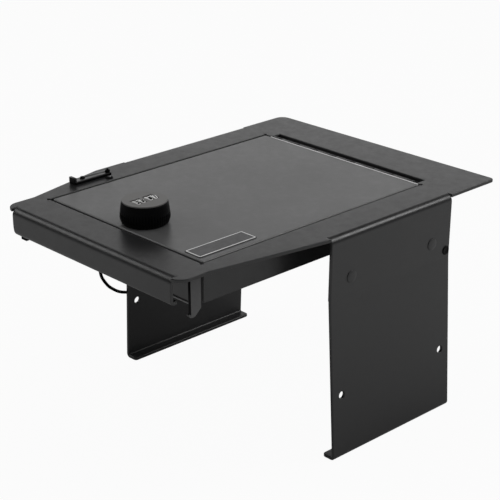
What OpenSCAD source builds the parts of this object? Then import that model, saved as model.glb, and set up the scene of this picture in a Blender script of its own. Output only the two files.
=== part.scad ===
// Console safe: a folded steel top with a hinged lid, a combination knob and two bolted side legs.
// Millimetres. Z = 0 lies under the feet, +X is the right side and +Y the hinge side.
// The lid is shown closed and unlocked, with the latch arm pointing to the right.

/* [Top plate] */
// Height from the feet to the top of the plate
top_height = 203.5; // [192:0.5:215]
// Thickness of the folded sheet
sheet_t = 3; // [2.5:0.25:3.5]
// Outer radius of the folds along the plate
fold_r = 6; // [5:0.5:8]
// Length of the plate from front to back
plate_length = 355; // [345:1:365]
// Distance that the left end of the back edge lies further forward than its right end
back_skew = 4.5; // [0:0.5:6]
// Half of the width over the folds along the legs
plate_half_width = 135.2; // [132:0.1:138]
// Distance that the left edge of the plate lies inside the leg's fold
left_ear_inset = 2.8; // [0:0.1:4]
// Distance that the right edge of the plate lies inside the leg's fold
right_ear_inset = 0.7; // [0:0.1:4]
// Half of the width of the plate at the front
front_half_width = 114.5; // [113:0.5:120]
// Radius of the two front corners
front_corner_r = 11; // [8:1:18]
// Radius of the left back corner
left_back_corner_r = 9; // [3:1:15]
// Radius of the right back corner
right_back_corner_r = 4; // [3:1:15]
// Distance from the front edge to where the sides flare out
flare_start = 30.5; // [25:0.5:45]
// Distance from the front edge to the end of the left flare
left_flare_end = 112; // [100:0.5:140]

/* [Lid opening] */
// Position of the lid's centre line across the plate
lid_x = -1; // [-3:0.5:1]
// Half of the width of the opening
opening_half_width = 100; // [99:0.5:101]
// Distance from the front edge to the opening
front_rim = 36.5; // [33:0.5:38]
// Length of the opening from front to back
opening_length = 259.5; // [258:0.5:262]
// Half of the width of the slot behind the hinge barrel
slot_half_width = 92; // [91:0.5:95]
// Depth of the slot behind the opening
slot_depth = 11; // [9:0.5:14]
// Radius of the relief holes at the corners of the opening
relief_r = 1.5; // [1:0.25:2.5]

/* [Front apron] */
// Half of the width of the apron
apron_half_width = 104; // [95:1:106]
// Height of the apron below the top of the plate
apron_drop = 24; // [20:0.5:32]
// Depth of the lip at the bottom of the apron
apron_lip = 7; // [6:0.5:12]
// Outer radius of the lip's fold
apron_fold_r = 4; // [3.75:0.25:5.5]
// Radius of the left bottom corner of the apron
apron_corner_r = 8; // [3:0.5:10]
// Distance of the apron's small foot from its left end
apron_foot_start = 6; // [5:0.5:20]
// Width of the apron's small foot
apron_foot_width = 6; // [5:0.5:14]
// Distance of the small foot behind the face of the apron
apron_foot_setback = 3.5; // [1.5:0.5:4]
// Distance that the small foot stands below the apron
apron_foot_drop = 1.5; // [1:0.25:4]

/* [Legs] */
// Length of the legs from front to back
leg_length = 150; // [147:1:160]
// Position of the legs' centre behind the middle of the plate
leg_centre_y = 43.4; // [40:0.2:50]
// Distance from the top of the plate down to the bend in the legs
knee_drop = 58; // [57:1:68]
// Distance that the bend in the legs lies inside the edge of the plate
knee_in = 1.2; // [0.5:0.1:3]
// Distance that the feet stand outside the edge of the plate
foot_spread = 5.4; // [5.2:0.1:8.5]
// Depth of the foot flanges
foot_flange = 14; // [10:1:20]
// Outer radius of the fold at the feet
foot_fold_r = 4; // [3.75:0.25:6]
// Radius of the inner corners of the foot flanges
foot_corner_r = 3; // [1:0.5:5]
// Diameter of the bolt holes in the legs
leg_hole_d = 6.6; // [5:0.2:8.4]
// Height of the bolt holes above the feet
leg_hole_height = 59; // [40:0.5:62]
// Distance between the two bolt holes of a leg
leg_hole_spacing = 127; // [100:1:130]

/* [Doublers and rivets] */
// Distance of the doublers from the front edge of the legs
doubler_setback = 1.5; // [0.5:0.5:4]
// Thickness of the doublers inside the legs
doubler_t = 1.5; // [1:0.25:2.5]
// Distance that the doublers stand out behind the legs
doubler_overhang = 1.5; // [0.5:0.5:4]
// Distance from the top of the plate to the upper edge of the doublers
doubler_top = 10; // [8:1:20]
// Distance from the top of the plate to the lower edge of the doublers
doubler_bottom = 57; // [56:0.5:57]
// Distance from the top of the plate to the rivets
rivet_drop = 40; // [30:1:44]
// Distance between the two rivets of a leg
rivet_spacing = 101.6; // [80:0.2:105]
// Diameter of the rivet heads
rivet_head_d = 11; // [8:0.5:12]
// Height of the rivet heads
rivet_head_t = 1; // [0.6:0.1:1.5]
// Diameter of the rivet shanks
rivet_shank_d = 4.8; // [3:0.2:6]

/* [Rubber plugs] */
// Distance from the top of the plate to the plugs
plug_drop = 51; // [50:0.5:52]
// Distance of the plugs from the back edge of the legs
plug_setback = 5; // [4.5:0.25:7]
// Diameter of the outer rim of the plugs
plug_rim_d = 8.4; // [7.6:0.1:8.6]
// Thickness of the rims of the plugs
plug_rim_t = 0.8; // [0.6:0.1:1.2]
// Diameter of the hole that a plug fills
plug_hole_d = 6; // [4.5:0.25:6.5]

/* [Skirt] */
// Height of the skirt below the top of the plate
skirt_drop = 34.5; // [34:0.5:45]
// Distance from the opening's back edge to the skirt's rear wall
skirt_rear_gap = 28.5; // [28:0.5:33]
// Depth of the lip at the bottom of the skirt's front wall
skirt_lip = 3; // [2:0.5:5]

/* [Hook tabs] */
// Distance that the tabs lie inside the half width of the plate's front
hook_inset = 5.9; // [5.1:0.2:6.5]
// Width of the tabs from front to back
hook_width = 10.5; // [8:0.5:12]
// Distance of the tabs from the front edge of the plate
hook_setback = 17.5; // [14:0.5:20]
// Distance from the top of the plate to the tip of the tabs
hook_drop = 38; // [30:1:45]
// Height of the slanted edge at the tip
hook_slant = 6; // [3:0.5:8]
// Depth of the small foot at the tip
hook_foot = 5; // [3:0.5:5.5]
// Thickness of the small foot
hook_foot_t = 2.5; // [2:0.25:4]

/* [Hinge] */
// Radius of the hinge knuckles
knuckle_r = 2.5; // [2.2:0.1:2.5]
// Diameter of the hinge pin
pin_d = 2.4; // [2:0.1:2.6]
// Half of the length of the hinge
hinge_half_length = 90; // [80:1:90]
// Number of knuckles
knuckle_count = 15; // [7:2:21]
// Thickness of the hinge leaves
leaf_t = 1.2; // [0.8:0.1:1.4]
// Depth of the leaf under the plate
frame_leaf_depth = 22; // [18:1:24]
// Depth of the leaf under the lid
lid_leaf_depth = 16.5; // [12:0.5:20]

/* [Lid] */
// Gap between the lid and the opening at the sides and the front
lid_gap = 2; // [1.5:0.25:2.5]
// Gap between the back edge of the lid and the opening's back edge
lid_back_gap = 1.25; // [1.2:0.05:1.6]
// Depth of the lid's flanges below the top
lid_depth = 9; // [7:0.5:10]
// Thickness of the lid's flanges
lid_flange_t = 2; // [1.5:0.25:2.5]
// Radius along the lid's top edges
lid_edge_r = 2.9; // [1:0.1:2.9]

/* [Lid rests] */
// Distance of the lid rests from the front of the opening
rest_setback = 27; // [20:1:30]
// Width of the lid rests
rest_width = 16; // [12:1:20]
// Depth of the lid rests
rest_depth = 8; // [7:0.25:9]
// Thickness of the lid rests
rest_t = 2; // [1.5:0.25:3]
// Radius of the rubber bumpers
bumper_r = 3; // [2:0.25:3]
// Height of the rubber bumpers
bumper_t = 3; // [2:0.25:5]

/* [Knob] */
// Distance of the knob from the front of the opening
knob_setback = 26; // [25.5:0.5:28]
// Angle that the row of number wheels is turned by
row_angle = 3; // [0:1:20]
// Radius of the knob at its foot
knob_foot_r = 20; // [19.5:0.1:21]
// Radius of the knob at its widest
knob_wide_r = 21.3; // [21.1:0.1:22]
// Radius of the knob at the top
knob_top_r = 19.6; // [19.3:0.1:21]
// Height of the knob's body
knob_height = 18.2; // [17.4:0.1:18.4]
// Gap between the knob and the lid
knob_lift = 0.6; // [0.3:0.1:1]
// Height of the knob's gripping ribs
rib_height = 9; // [6:0.5:12]
// Number of gripping ribs
rib_count = 52; // [24:2:56]
// Radius of the grooves between the ribs
groove_r = 0.7; // [0.5:0.1:0.9]
// Radius of the knob's face plate
face_r = 19.2; // [17.5:0.1:19.3]
// Thickness of the knob's face plate
face_t = 1.2; // [0.8:0.1:1.6]

/* [Number wheels] */
// Radius of the number wheels
wheel_r = 7.6; // [7.2:0.1:7.8]
// Width of a number wheel
wheel_width = 3.8; // [3:0.1:4.2]
// Distance of the outer wheels from the middle of the row
outer_wheel_pos = 9.6; // [9.5:0.1:10.2]
// Distance of the inner wheels from the middle of the row
inner_wheel_pos = 4.1; // [2.6:0.1:4.2]
// Height that the wheels stand out of the face
wheel_rise = 0.8; // [0.3:0.1:1]
// Number of positions on a wheel
wheel_marks = 10; // [8:1:12]
// Diameter of the wheels' axle
axle_d = 2.4; // [1.6:0.1:3]
// Width of the windows along the row
window_width = 4.6; // [4.5:0.1:4.8]
// Length of the windows across the row
window_length = 11.2; // [11:0.1:12]

/* [Lock] */
// Radius of the barrel's flange on the lid
barrel_flange_r = 16; // [12:0.5:16.2]
// Thickness of the barrel's flange
barrel_flange_t = 2; // [1:0.1:2.4]
// Radius of the barrel
barrel_r = 9.5; // [8.6:0.1:10]
// Width across the barrel's two flats
barrel_flats = 16; // [14:0.5:16.5]
// Length of the barrel below the top of the lid
barrel_length = 26; // [22:0.5:26]
// Radius of the lock's spindle
spindle_r = 5; // [4:0.1:5.5]
// Width of the spindle's squared end
square_width = 8; // [7:0.1:8]
// Thickness of the washer under the lid
washer_t = 1.2; // [0.8:0.1:2]
// Thickness of the lock's nut
nut_t = 5; // [3:0.25:6]
// Width across the flats of the nut
nut_flats = 24; // [22:0.5:25]
// Length of the latch arm from the middle of the lock
arm_length = 23; // [20:0.5:24]
// Width of the latch arm
arm_width = 14; // [12:0.5:15]
// Thickness of the latch arm
arm_t = 3; // [2:0.25:3.5]
// Radius of the arm screw's washer head
arm_screw_head_r = 6; // [5.8:0.1:7]

/* [Strike plate] */
// Half of the width of the strike plate
strike_half_width = 14; // [11:0.5:20]
// Thickness of the strike plate
strike_t = 2.5; // [2:0.25:3]
// Depth of the strike plate's ledge
strike_depth = 14; // [11:0.5:14.5]
// Height of the strike plate
strike_height = 13; // [10:0.5:14]
// Distance of the strike plate's screws from its middle
strike_screw_pos = 8; // [6:0.5:8]

/* [Label plate] */
// Width of the bare label plate
label_width = 19.4; // [12:0.2:20]
// Length of the bare label plate
label_length = 62.5; // [50:0.5:70]
// Thickness of the label plate
label_t = 0.6; // [0.3:0.1:1]
// Distance of the label plate from the lid's right edge
label_side_gap = 7; // [3.5:0.25:9]
// Distance of the label plate from the lid's front edge
label_front_gap = 4.3; // [3.5:0.1:10]
// Radius of the label plate's corners
label_corner_r = 2; // [0.5:0.25:4]

/* [Bracket on the left rim] */
// Distance from the front edge of the plate to the bracket
bracket_start = 74.5; // [70:0.5:80]
// Length of the bracket
bracket_length = 41; // [40.5:0.5:41.5]
// Width of the bracket
bracket_width = 9; // [8.5:0.25:10]
// Thickness of the bracket
bracket_t = 2.5; // [1.5:0.25:3]
// Height of the upright at the bracket's front end
bracket_upright = 5.9; // [4:0.1:10]
// Width of the upright
upright_width = 8; // [6:0.5:9]
// Gap between the bracket and the opening
bracket_gap = 11.8; // [11.6:0.2:13]
// Radius of the bracket's screw head
bracket_head_r = 2.5; // [2:0.1:3]
// Radius of the contact post
post_r = 2.3; // [1.8:0.1:2.8]
// Height of the contact post
post_height = 2.5; // [2:0.25:8]

/* [Cable] */
// Diameter of the cable
cable_d = 2.5; // [2:0.1:2.6]
// Distance of the rim grommet from the front edge of the plate
grommet_setback = 108.75; // [107:0.25:110]
// Distance of the rim grommet from the opening
grommet_gap = 7; // [6.8:0.1:8]
// Radius of the grommet's rim
grommet_rim_r = 3.4; // [2.8:0.1:3.4]
// Radius of the hole that the grommet fills
grommet_hole_r = 2.4; // [2:0.1:2.6]
// Length of the terminal's pin below the plate
terminal_drop = 4; // [3:0.25:6]
// Distance of the skirt's grommet from the opening's back edge
skirt_grommet_gap = 17.5; // [15:0.5:20]
// Distance from the top of the plate to the skirt's grommet
skirt_grommet_drop = 22; // [16:0.5:28]

/* [Hidden] */
$fn = 64;
sheet_color = [0.17, 0.17, 0.18];
lid_color = [0.22, 0.22, 0.23];
steel_color = [0.62, 0.63, 0.64];
black_color = [0.06, 0.06, 0.065];
rubber_color = [0.04, 0.04, 0.04];
mark_color = [0.85, 0.85, 0.85];

// Fits between pieces
run_clear = 0.05;
seat_clear = 0.1;
knuckle_gap = 0.3;
barrel_clear = 0.1;
past = 1;

// Plate
front_y = -plate_length / 2;
back_y = plate_length / 2;
under_z = top_height - sheet_t;
fold_z = top_height - fold_r;
flare_start_y = front_y + flare_start;
left_flare_y = front_y + left_flare_end;
open_front_y = front_y + front_rim;
open_back_y = open_front_y + opening_length;
slot_back_y = open_back_y + slot_depth;

// Legs
leg_front_y = leg_centre_y - leg_length / 2;
leg_back_y = leg_centre_y + leg_length / 2;
knee_z = top_height - knee_drop;
knee_x = plate_half_width - knee_in;
fold_x = plate_half_width - fold_r;
foot_half_width = plate_half_width + foot_spread;
foot_x = foot_half_width - foot_fold_r;
upper_lean = atan2(knee_in, fold_z - knee_z);
plug_y = leg_back_y - plug_setback;
plug_z = top_height - plug_drop;
rivet_z = top_height - rivet_drop;

// Apron
apron_z = top_height - apron_drop;
apron_left_x = -apron_half_width;
apron_right_x = apron_half_width;

// Skirt
skirt_z = top_height - skirt_drop;
skirt_outer = opening_half_width + sheet_t;
rear_y = open_back_y + skirt_rear_gap;

// Hook tabs
hook_front_y = front_y + hook_setback;
hook_offset = front_half_width - hook_inset - sheet_t;
hook_z = top_height - hook_drop;
hook_flat = 4;

// Hinge
hinge_y = open_back_y + knuckle_r;
hinge_z = top_height - knuckle_r - seat_clear;
knuckle_length = 2 * hinge_half_length / knuckle_count;
bore_r = pin_d / 2 + run_clear;
leaf_z = under_z - leaf_t;
leaf_clear = 0.5;
pin_head_t = 1;

// Lid
lid_half_width = opening_half_width - lid_gap;
lid_front_y = open_front_y + lid_gap;
lid_back_y = open_back_y - lid_back_gap;
lid_bottom_z = top_height - lid_depth;
lid_leaf_front_y = lid_back_y - lid_leaf_depth;

// Lid rests
rest_y = open_front_y + rest_setback;
rest_top_z = lid_bottom_z - bumper_t;
bumper_x = opening_half_width - rest_depth / 2 + 0.4;

// Knob and wheels
knob_y = open_front_y + knob_setback;
knob_z = top_height + knob_lift;
knob_top_z = knob_z + knob_height;
knob_wide_z = knob_z + 4.4;
knob_bend_z = knob_z + 7.4;
knob_bend_r = knob_wide_r - 0.3;
knob_edge = 0.6;
recess_r = barrel_flange_r + 0.5;
recess_z = top_height + barrel_flange_t + 0.5;
face_z = knob_top_z + face_t;
axle_z = face_z + wheel_rise - wheel_r;
pocket_clear = 0.6;
pocket_z = axle_z - wheel_r - pocket_clear;
pocket_width = 2 * (wheel_r + pocket_clear);
pocket_length = 2 * outer_wheel_pos + wheel_width + 2 * pocket_clear;
axle_length = pocket_length + 3;
mark_groove_r = 0.4;
wheel_positions = [-outer_wheel_pos, -inner_wheel_pos, inner_wheel_pos, outer_wheel_pos];

// Lock
barrel_z = top_height - barrel_length;
washer_z = under_z - washer_t;
nut_z = washer_z - nut_t;
washer_r = nut_flats / 2 + 1.5;
arm_gap = 0.2;
arm_top_z = barrel_z - arm_gap;
arm_z = arm_top_z - arm_t;
arm_hub_r = arm_width / 2 + 1.5;
spindle_top_z = pocket_z - 1.2;
arm_screw_flange_t = 1;
arm_screw_hex = 6;
arm_screw_hex_t = 2.5;
arm_screw_r = 1.6;
arm_screw_depth = 10;

// Strike plate
strike_gap = 1.2;
strike_z = arm_top_z + strike_gap;
strike_screw_z = strike_z + strike_t + (strike_height - strike_t) / 2;
strike_screw_r = 1.5;
strike_head_r = 2.5;
strike_head_t = 1.4;

// Bracket, grommet and cable
bracket_right_x = lid_x - opening_half_width - bracket_gap;
bracket_left_x = bracket_right_x - bracket_width;
bracket_y = front_y + bracket_start;
bracket_top_z = top_height + bracket_t;
bracket_screw_pos = [bracket_left_x + 3, bracket_y + 12.5];
post_pos = [bracket_right_x - 2.6, bracket_y + 38.3];
bracket_shank_r = 1.5;
screw_head_t = 1.2;
screw_socket_r = 1.1;
post_tip_r = 1;
post_tip_t = 1.2;
grommet_x = lid_x - opening_half_width - grommet_gap;
grommet_y = front_y + grommet_setback;
grommet_rim_t = 0.8;
terminal_r = cable_d / 2;
terminal_head_r = 1.6;
terminal_head_t = 0.8;
terminal_end_z = under_z - terminal_drop;
skirt_grommet_y = open_back_y + skirt_grommet_gap;
skirt_grommet_z = top_height - skirt_grommet_drop;

// Outer face of a leg above its bend, at a height
function upper_x(z) = knee_x + knee_in * (z - knee_z) / (fold_z - knee_z);

// Outer face of a leg below its bend, at a height
function lower_x(z) = knee_x + (foot_half_width - knee_x) * (knee_z - z) / (knee_z - foot_fold_r);

// Point straight out from the skirt's grommet, a distance away from its rim
function beside_skirt(away) = [
    lid_x - skirt_outer - grommet_rim_t - away,
    skirt_grommet_y,
    skirt_grommet_z
];

// Route of the cable: down from the rim, in a loop beside the left leg, and round its back edge to the skirt
cable_side = -foot_half_width + cable_d / 2 + 0.2;
cable_points = [
    [grommet_x, grommet_y, terminal_end_z],
    [grommet_x, grommet_y, terminal_end_z - cable_d],
    [grommet_x - 0.3, grommet_y - 0.9, 181.5],
    [grommet_x - 1.6, grommet_y - 4, 160],
    [grommet_x - 3.5, grommet_y - 7.75, 138],
    [grommet_x - 5, grommet_y - 10.75, 120],
    [grommet_x - 8.2, grommet_y - 7.75, 106.7],
    [cable_side + 18.2, -66.3, 93.2],
    [cable_side + 11.6, -55.1, 83.7],
    [cable_side + 4.6, -42.7, 75],
    [cable_side, -30.7, 69.1],
    [cable_side, -14, 64.5],
    [cable_side, 7, 62],
    [cable_side, 29, 62.8],
    [cable_side, 52, 67.5],
    [cable_side, 75, 79.5],
    [cable_side, 95, 97.5],
    [cable_side + 0.4, 112, 119.5],
    [cable_side + 4, 125, 141.5],
    [cable_side + 12, 133, 160.5],
    [cable_side + 22, skirt_grommet_y, 174.5],
    beside_skirt(2 * cable_d),
    beside_skirt(cable_d),
    beside_skirt(0)
];
cable_steps = 3;
cable_sides = 8;
cable_reference = [0.70711, -0.70711, 0];
cable_last = len(cable_points) - 1;

// Smooth curve through four points, from the second to the third
function curve(a, b, c, d, t) =
    0.5 * ((2 * b) + (c - a) * t + (2 * a - 5 * b + 4 * c - d) * t * t
    + (3 * b - a - 3 * c + d) * t * t * t);

function route(i) = cable_points[max(0, min(cable_last, i))];

// The straight ends are kept as they are, and only the length between them is curved
function is_end(i) = i == 0 || i == cable_last - 1;

cable_path = concat(
    [for (i = [0 : cable_last - 1])
        for (s = [0 : (is_end(i) ? 1 : cable_steps) - 1])
            is_end(i)
                ? route(i)
                : curve(route(i - 1), route(i), route(i + 1), route(i + 2), s / cable_steps)],
    [route(cable_last)]
);
path_last = len(cable_path) - 1;

function unit(v) = v / norm(v);

function heading(i) =
    i == 0 ? unit(cable_path[1] - cable_path[0])
    : i == path_last ? unit(cable_path[path_last] - cable_path[path_last - 1])
    : unit(unit(cable_path[i + 1] - cable_path[i]) + unit(cable_path[i] - cable_path[i - 1]));

// Corners of the cable's cross section at one step of its route
function cable_ring(i) =
    let (across = unit(cross(heading(i), cable_reference)))
    let (upward = cross(heading(i), across))
    [for (k = [0 : cable_sides - 1])
        cable_path[i]
        + cable_d / 2 * (cos(360 * k / cable_sides) * across + sin(360 * k / cable_sides) * upward)];

cable_vertices = [for (i = [0 : path_last]) each cable_ring(i)];
cable_walls = [
    for (i = [0 : path_last - 1])
        for (k = [0 : cable_sides - 1])
            let (next = (k + 1) % cable_sides)
            let (here = i * cable_sides)
            let (ahead = (i + 1) * cable_sides)
            [here + k, ahead + k, ahead + next, here + next]
];
cable_caps = [
    [for (k = [0 : cable_sides - 1]) k],
    [for (k = [0 : cable_sides - 1]) path_last * cable_sides + cable_sides - 1 - k]
];

// Outline drawn in Y and Z, drawn out along X
module along_x(from_x, to_x) {
    translate([from_x, 0, 0])
        rotate([90, 0, 90])
            linear_extrude(to_x - from_x)
                children();
}

// Outline drawn in X and Z, drawn out along Y
module along_y(from_y, to_y) {
    translate([0, to_y, 0])
        rotate([90, 0, 0])
            linear_extrude(to_y - from_y)
                children();
}

// Outline drawn in X and Y, drawn out along Z
module along_z(from_z, to_z) {
    translate([0, 0, from_z])
        linear_extrude(to_z - from_z)
            children();
}

// Block between two corners
module block(low, high) {
    translate(low)
        cube(high - low);
}

// Rectangle between two corners
module panel(low, high) {
    translate(low)
        square(high - low);
}

// Quarter of a folded sheet, turned by quarter turns
module fold(outer_r, quarter) {
    rotate(90 * quarter)
        intersection() {
            difference() {
                circle(outer_r);
                circle(outer_r - sheet_t);
            }
            square(outer_r);
        }
}

module rounded_panel(size, corner_r) {
    translate([corner_r, 0])
        square([size[0] - 2 * corner_r, size[1]]);
    translate([0, corner_r])
        square([size[0], size[1] - 2 * corner_r]);
    for (x = [corner_r, size[0] - corner_r], y = [corner_r, size[1] - corner_r])
        translate([x, y])
            circle(corner_r);
}

// Right side as drawn, left side mirrored
module on_side(side) {
    mirror([side < 0 ? 1 : 0, 0, 0])
        children();
}

// On the lid's centre line, right side as drawn and left side mirrored
module on_lid_side(side) {
    translate([lid_x, 0, 0])
        on_side(side)
            children();
}

// At the lock, with Z measured from the feet
module at_knob() {
    translate([lid_x, knob_y, 0])
        children();
}

// At the lock, with Y along the row of number wheels
module along_row() {
    at_knob()
        rotate([0, 0, row_angle])
            children();
}

// Outward from the right leg's upper part, starting at its outer face
module out_of_leg(y, z) {
    translate([upper_x(z), y, z])
        rotate([0, 90 + upper_lean, 0])
            children();
}

module plate_outline() {
    front_in = front_half_width - front_corner_r;
    right_in = plate_half_width - right_ear_inset;
    left_in = plate_half_width - left_ear_inset;
    left_back_y = back_y - back_skew;
    polygon([
        [-front_in, front_y],
        [front_in, front_y],
        [front_half_width, front_y + front_corner_r],
        [front_half_width, flare_start_y],
        [right_in, leg_front_y],
        [right_in, back_y - right_back_corner_r],
        [right_in - right_back_corner_r, back_y],
        [-left_in + left_back_corner_r, left_back_y],
        [-left_in, left_back_y - left_back_corner_r],
        [-left_in, left_flare_y],
        [-front_half_width, flare_start_y],
        [-front_half_width, front_y + front_corner_r]
    ]);
    for (side = [-1, 1])
        translate([side * front_in, front_y + front_corner_r])
            circle(front_corner_r);
    translate([right_in - right_back_corner_r, back_y - right_back_corner_r])
        circle(right_back_corner_r);
    translate([-left_in + left_back_corner_r, left_back_y - left_back_corner_r])
        circle(left_back_corner_r);
}

module opening_outline() {
    panel([lid_x - opening_half_width, open_front_y], [lid_x + opening_half_width, open_back_y]);
    panel([lid_x - slot_half_width, open_back_y - past], [lid_x + slot_half_width, slot_back_y]);
    for (side = [-1, 1], y = [open_front_y, open_back_y])
        translate([lid_x + side * opening_half_width, y])
            circle(relief_r);
}

module top_plate() {
    color(sheet_color)
        along_z(under_z, top_height)
            difference() {
                plate_outline();
                opening_outline();
                panel([apron_left_x, front_y - past], [apron_right_x, front_y + fold_r]);
                for (side = [-1, 1])
                    translate([side * plate_half_width, leg_centre_y])
                        square([2 * fold_r, leg_length], center = true);
                translate([grommet_x, grommet_y])
                    circle(grommet_hole_r);
                for (p = [bracket_screw_pos, post_pos])
                    translate(p)
                        circle(bracket_shank_r + seat_clear);
            }
}

module front_apron() {
    corner_x = apron_left_x + apron_corner_r;
    color(sheet_color) {
        along_x(apron_left_x, apron_right_x)
            translate([front_y + fold_r, fold_z])
                fold(fold_r, 1);
        along_x(corner_x, apron_right_x) {
            panel([front_y, apron_z + apron_fold_r], [front_y + sheet_t, fold_z]);
            translate([front_y + apron_fold_r, apron_z + apron_fold_r])
                fold(apron_fold_r, 2);
            panel([front_y + apron_fold_r, apron_z], [front_y + apron_lip, apron_z + sheet_t]);
        }
        block(
            [apron_left_x + apron_foot_start, front_y + apron_foot_setback, apron_z - apron_foot_drop],
            [apron_left_x + apron_foot_start + apron_foot_width, front_y + apron_lip, apron_z + sheet_t / 2]
        );
        along_y(front_y, front_y + sheet_t) {
            panel([apron_left_x, apron_z + apron_corner_r], [corner_x, fold_z]);
            intersection() {
                translate([corner_x, apron_z + apron_corner_r])
                    circle(apron_corner_r);
                panel([apron_left_x, apron_z], [corner_x, apron_z + apron_corner_r]);
            }
        }
    }
}

module leg_profile() {
    translate([fold_x, fold_z])
        fold(fold_r, 0);
    polygon([
        [plate_half_width, fold_z],
        [plate_half_width - sheet_t, fold_z],
        [knee_x - sheet_t, knee_z],
        [knee_x, knee_z]
    ]);
    polygon([
        [knee_x, knee_z],
        [knee_x - sheet_t, knee_z],
        [foot_half_width - sheet_t, foot_fold_r],
        [foot_half_width, foot_fold_r]
    ]);
    translate([foot_x, foot_fold_r])
        fold(foot_fold_r, 3);
}

module foot_outline() {
    inner_x = foot_half_width - foot_flange;
    panel([inner_x + foot_corner_r, leg_front_y], [foot_x, leg_back_y]);
    panel([inner_x, leg_front_y + foot_corner_r], [foot_x, leg_back_y - foot_corner_r]);
    for (y = [leg_front_y + foot_corner_r, leg_back_y - foot_corner_r])
        translate([inner_x + foot_corner_r, y])
            circle(foot_corner_r);
}

module leg() {
    difference() {
        union() {
            along_y(leg_front_y, leg_back_y)
                leg_profile();
            along_z(0, sheet_t)
                foot_outline();
        }
        for (end = [-1, 1]) {
            translate([knee_x - past, leg_centre_y + end * leg_hole_spacing / 2, leg_hole_height])
                rotate([0, 90, 0])
                    cylinder(d = leg_hole_d, h = foot_half_width - knee_x + 2 * past);
            out_of_leg(leg_centre_y + end * rivet_spacing / 2, rivet_z)
                bore(rivet_shank_d / 2 + seat_clear / 2);
        }
        out_of_leg(plug_y, plug_z)
            bore(plug_hole_d / 2);
    }
}

// Bore through a leg and its doubler
module bore(radius) {
    translate([0, 0, -sheet_t - doubler_t - past])
        cylinder(r = radius, h = sheet_t + doubler_t + 2 * past);
}

module left_leg() {
    color(sheet_color)
        on_side(-1)
            leg();
}

module right_leg() {
    color(sheet_color)
        on_side(1)
            leg();
}

module doubler() {
    top_z = top_height - doubler_top;
    bottom_z = top_height - doubler_bottom;
    difference() {
        along_y(leg_front_y + doubler_setback, leg_back_y + doubler_overhang)
            polygon([
                [upper_x(top_z) - sheet_t, top_z],
                [upper_x(top_z) - sheet_t - doubler_t, top_z],
                [upper_x(bottom_z) - sheet_t - doubler_t, bottom_z],
                [upper_x(bottom_z) - sheet_t, bottom_z]
            ]);
        for (end = [-1, 1])
            out_of_leg(leg_centre_y + end * rivet_spacing / 2, rivet_z)
                bore(rivet_shank_d / 2 + seat_clear / 2);
        out_of_leg(plug_y, plug_z)
            bore(plug_hole_d / 2);
    }
}

module left_doubler() {
    color(sheet_color)
        on_side(-1)
            doubler();
}

module right_doubler() {
    color(sheet_color)
        on_side(1)
            doubler();
}

module leg_rivets() {
    grip = sheet_t + doubler_t;
    color(sheet_color)
        for (side = [-1, 1], end = [-1, 1])
            on_side(side)
                out_of_leg(leg_centre_y + end * rivet_spacing / 2, rivet_z) {
                    cylinder(r1 = rivet_head_d / 2, r2 = rivet_head_d / 2 - rivet_head_t / 2, h = rivet_head_t);
                    translate([0, 0, -grip])
                        cylinder(d = rivet_shank_d, h = grip);
                    translate([0, 0, -grip - rivet_head_t])
                        cylinder(d = 1.5 * rivet_shank_d, h = rivet_head_t);
                }
}

module rubber_plugs() {
    grip = sheet_t + doubler_t;
    color(rubber_color)
        for (side = [-1, 1])
            on_side(side)
                out_of_leg(plug_y, plug_z) {
                    cylinder(d = plug_rim_d, h = plug_rim_t);
                    translate([0, 0, -grip])
                        cylinder(d = plug_hole_d - seat_clear, h = grip);
                    translate([0, 0, -grip - plug_rim_t])
                        cylinder(d = plug_rim_d, h = plug_rim_t);
                }
}

module skirt_front() {
    color(sheet_color)
        difference() {
            along_x(lid_x - skirt_outer, lid_x + skirt_outer) {
                panel([open_front_y - sheet_t, skirt_z], [open_front_y, under_z]);
                panel([open_front_y - sheet_t - skirt_lip, skirt_z], [open_front_y - sheet_t, skirt_z + sheet_t]);
            }
            strike_holes(open_front_y - sheet_t - past, open_front_y + past);
        }
}

module skirt_rear() {
    color(sheet_color)
        block([lid_x - skirt_outer, rear_y, skirt_z], [lid_x + skirt_outer, rear_y + sheet_t, under_z]);
}

module skirt_side() {
    block([opening_half_width, open_front_y, skirt_z], [skirt_outer, rear_y, under_z]);
}

module skirt_left() {
    color(sheet_color)
        difference() {
            on_lid_side(-1)
                skirt_side();
            translate([lid_x - skirt_outer - past, skirt_grommet_y, skirt_grommet_z])
                rotate([0, 90, 0])
                    cylinder(r = grommet_hole_r, h = sheet_t + 2 * past);
        }
}

module skirt_right() {
    color(sheet_color)
        on_lid_side(1)
            skirt_side();
}

module hook_tab() {
    hook_back_y = hook_front_y + hook_width;
    along_x(hook_offset, hook_offset + sheet_t)
        polygon([
            [hook_front_y, under_z],
            [hook_front_y, hook_z],
            [hook_front_y + hook_flat, hook_z],
            [hook_back_y, hook_z + hook_slant],
            [hook_back_y, under_z]
        ]);
    block(
        [hook_offset - hook_foot, hook_front_y, hook_z],
        [hook_offset, hook_front_y + hook_flat, hook_z + hook_foot_t]
    );
}

module left_hook_tab() {
    color(sheet_color)
        on_lid_side(-1)
            hook_tab();
}

module right_hook_tab() {
    color(sheet_color)
        on_lid_side(1)
            hook_tab();
}

// Lower and upper end of a knuckle along the hinge
function knuckle_start(i) = lid_x - hinge_half_length + i * knuckle_length + knuckle_gap / 2;
function knuckle_end(i) = knuckle_start(i) + knuckle_length - knuckle_gap;

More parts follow.
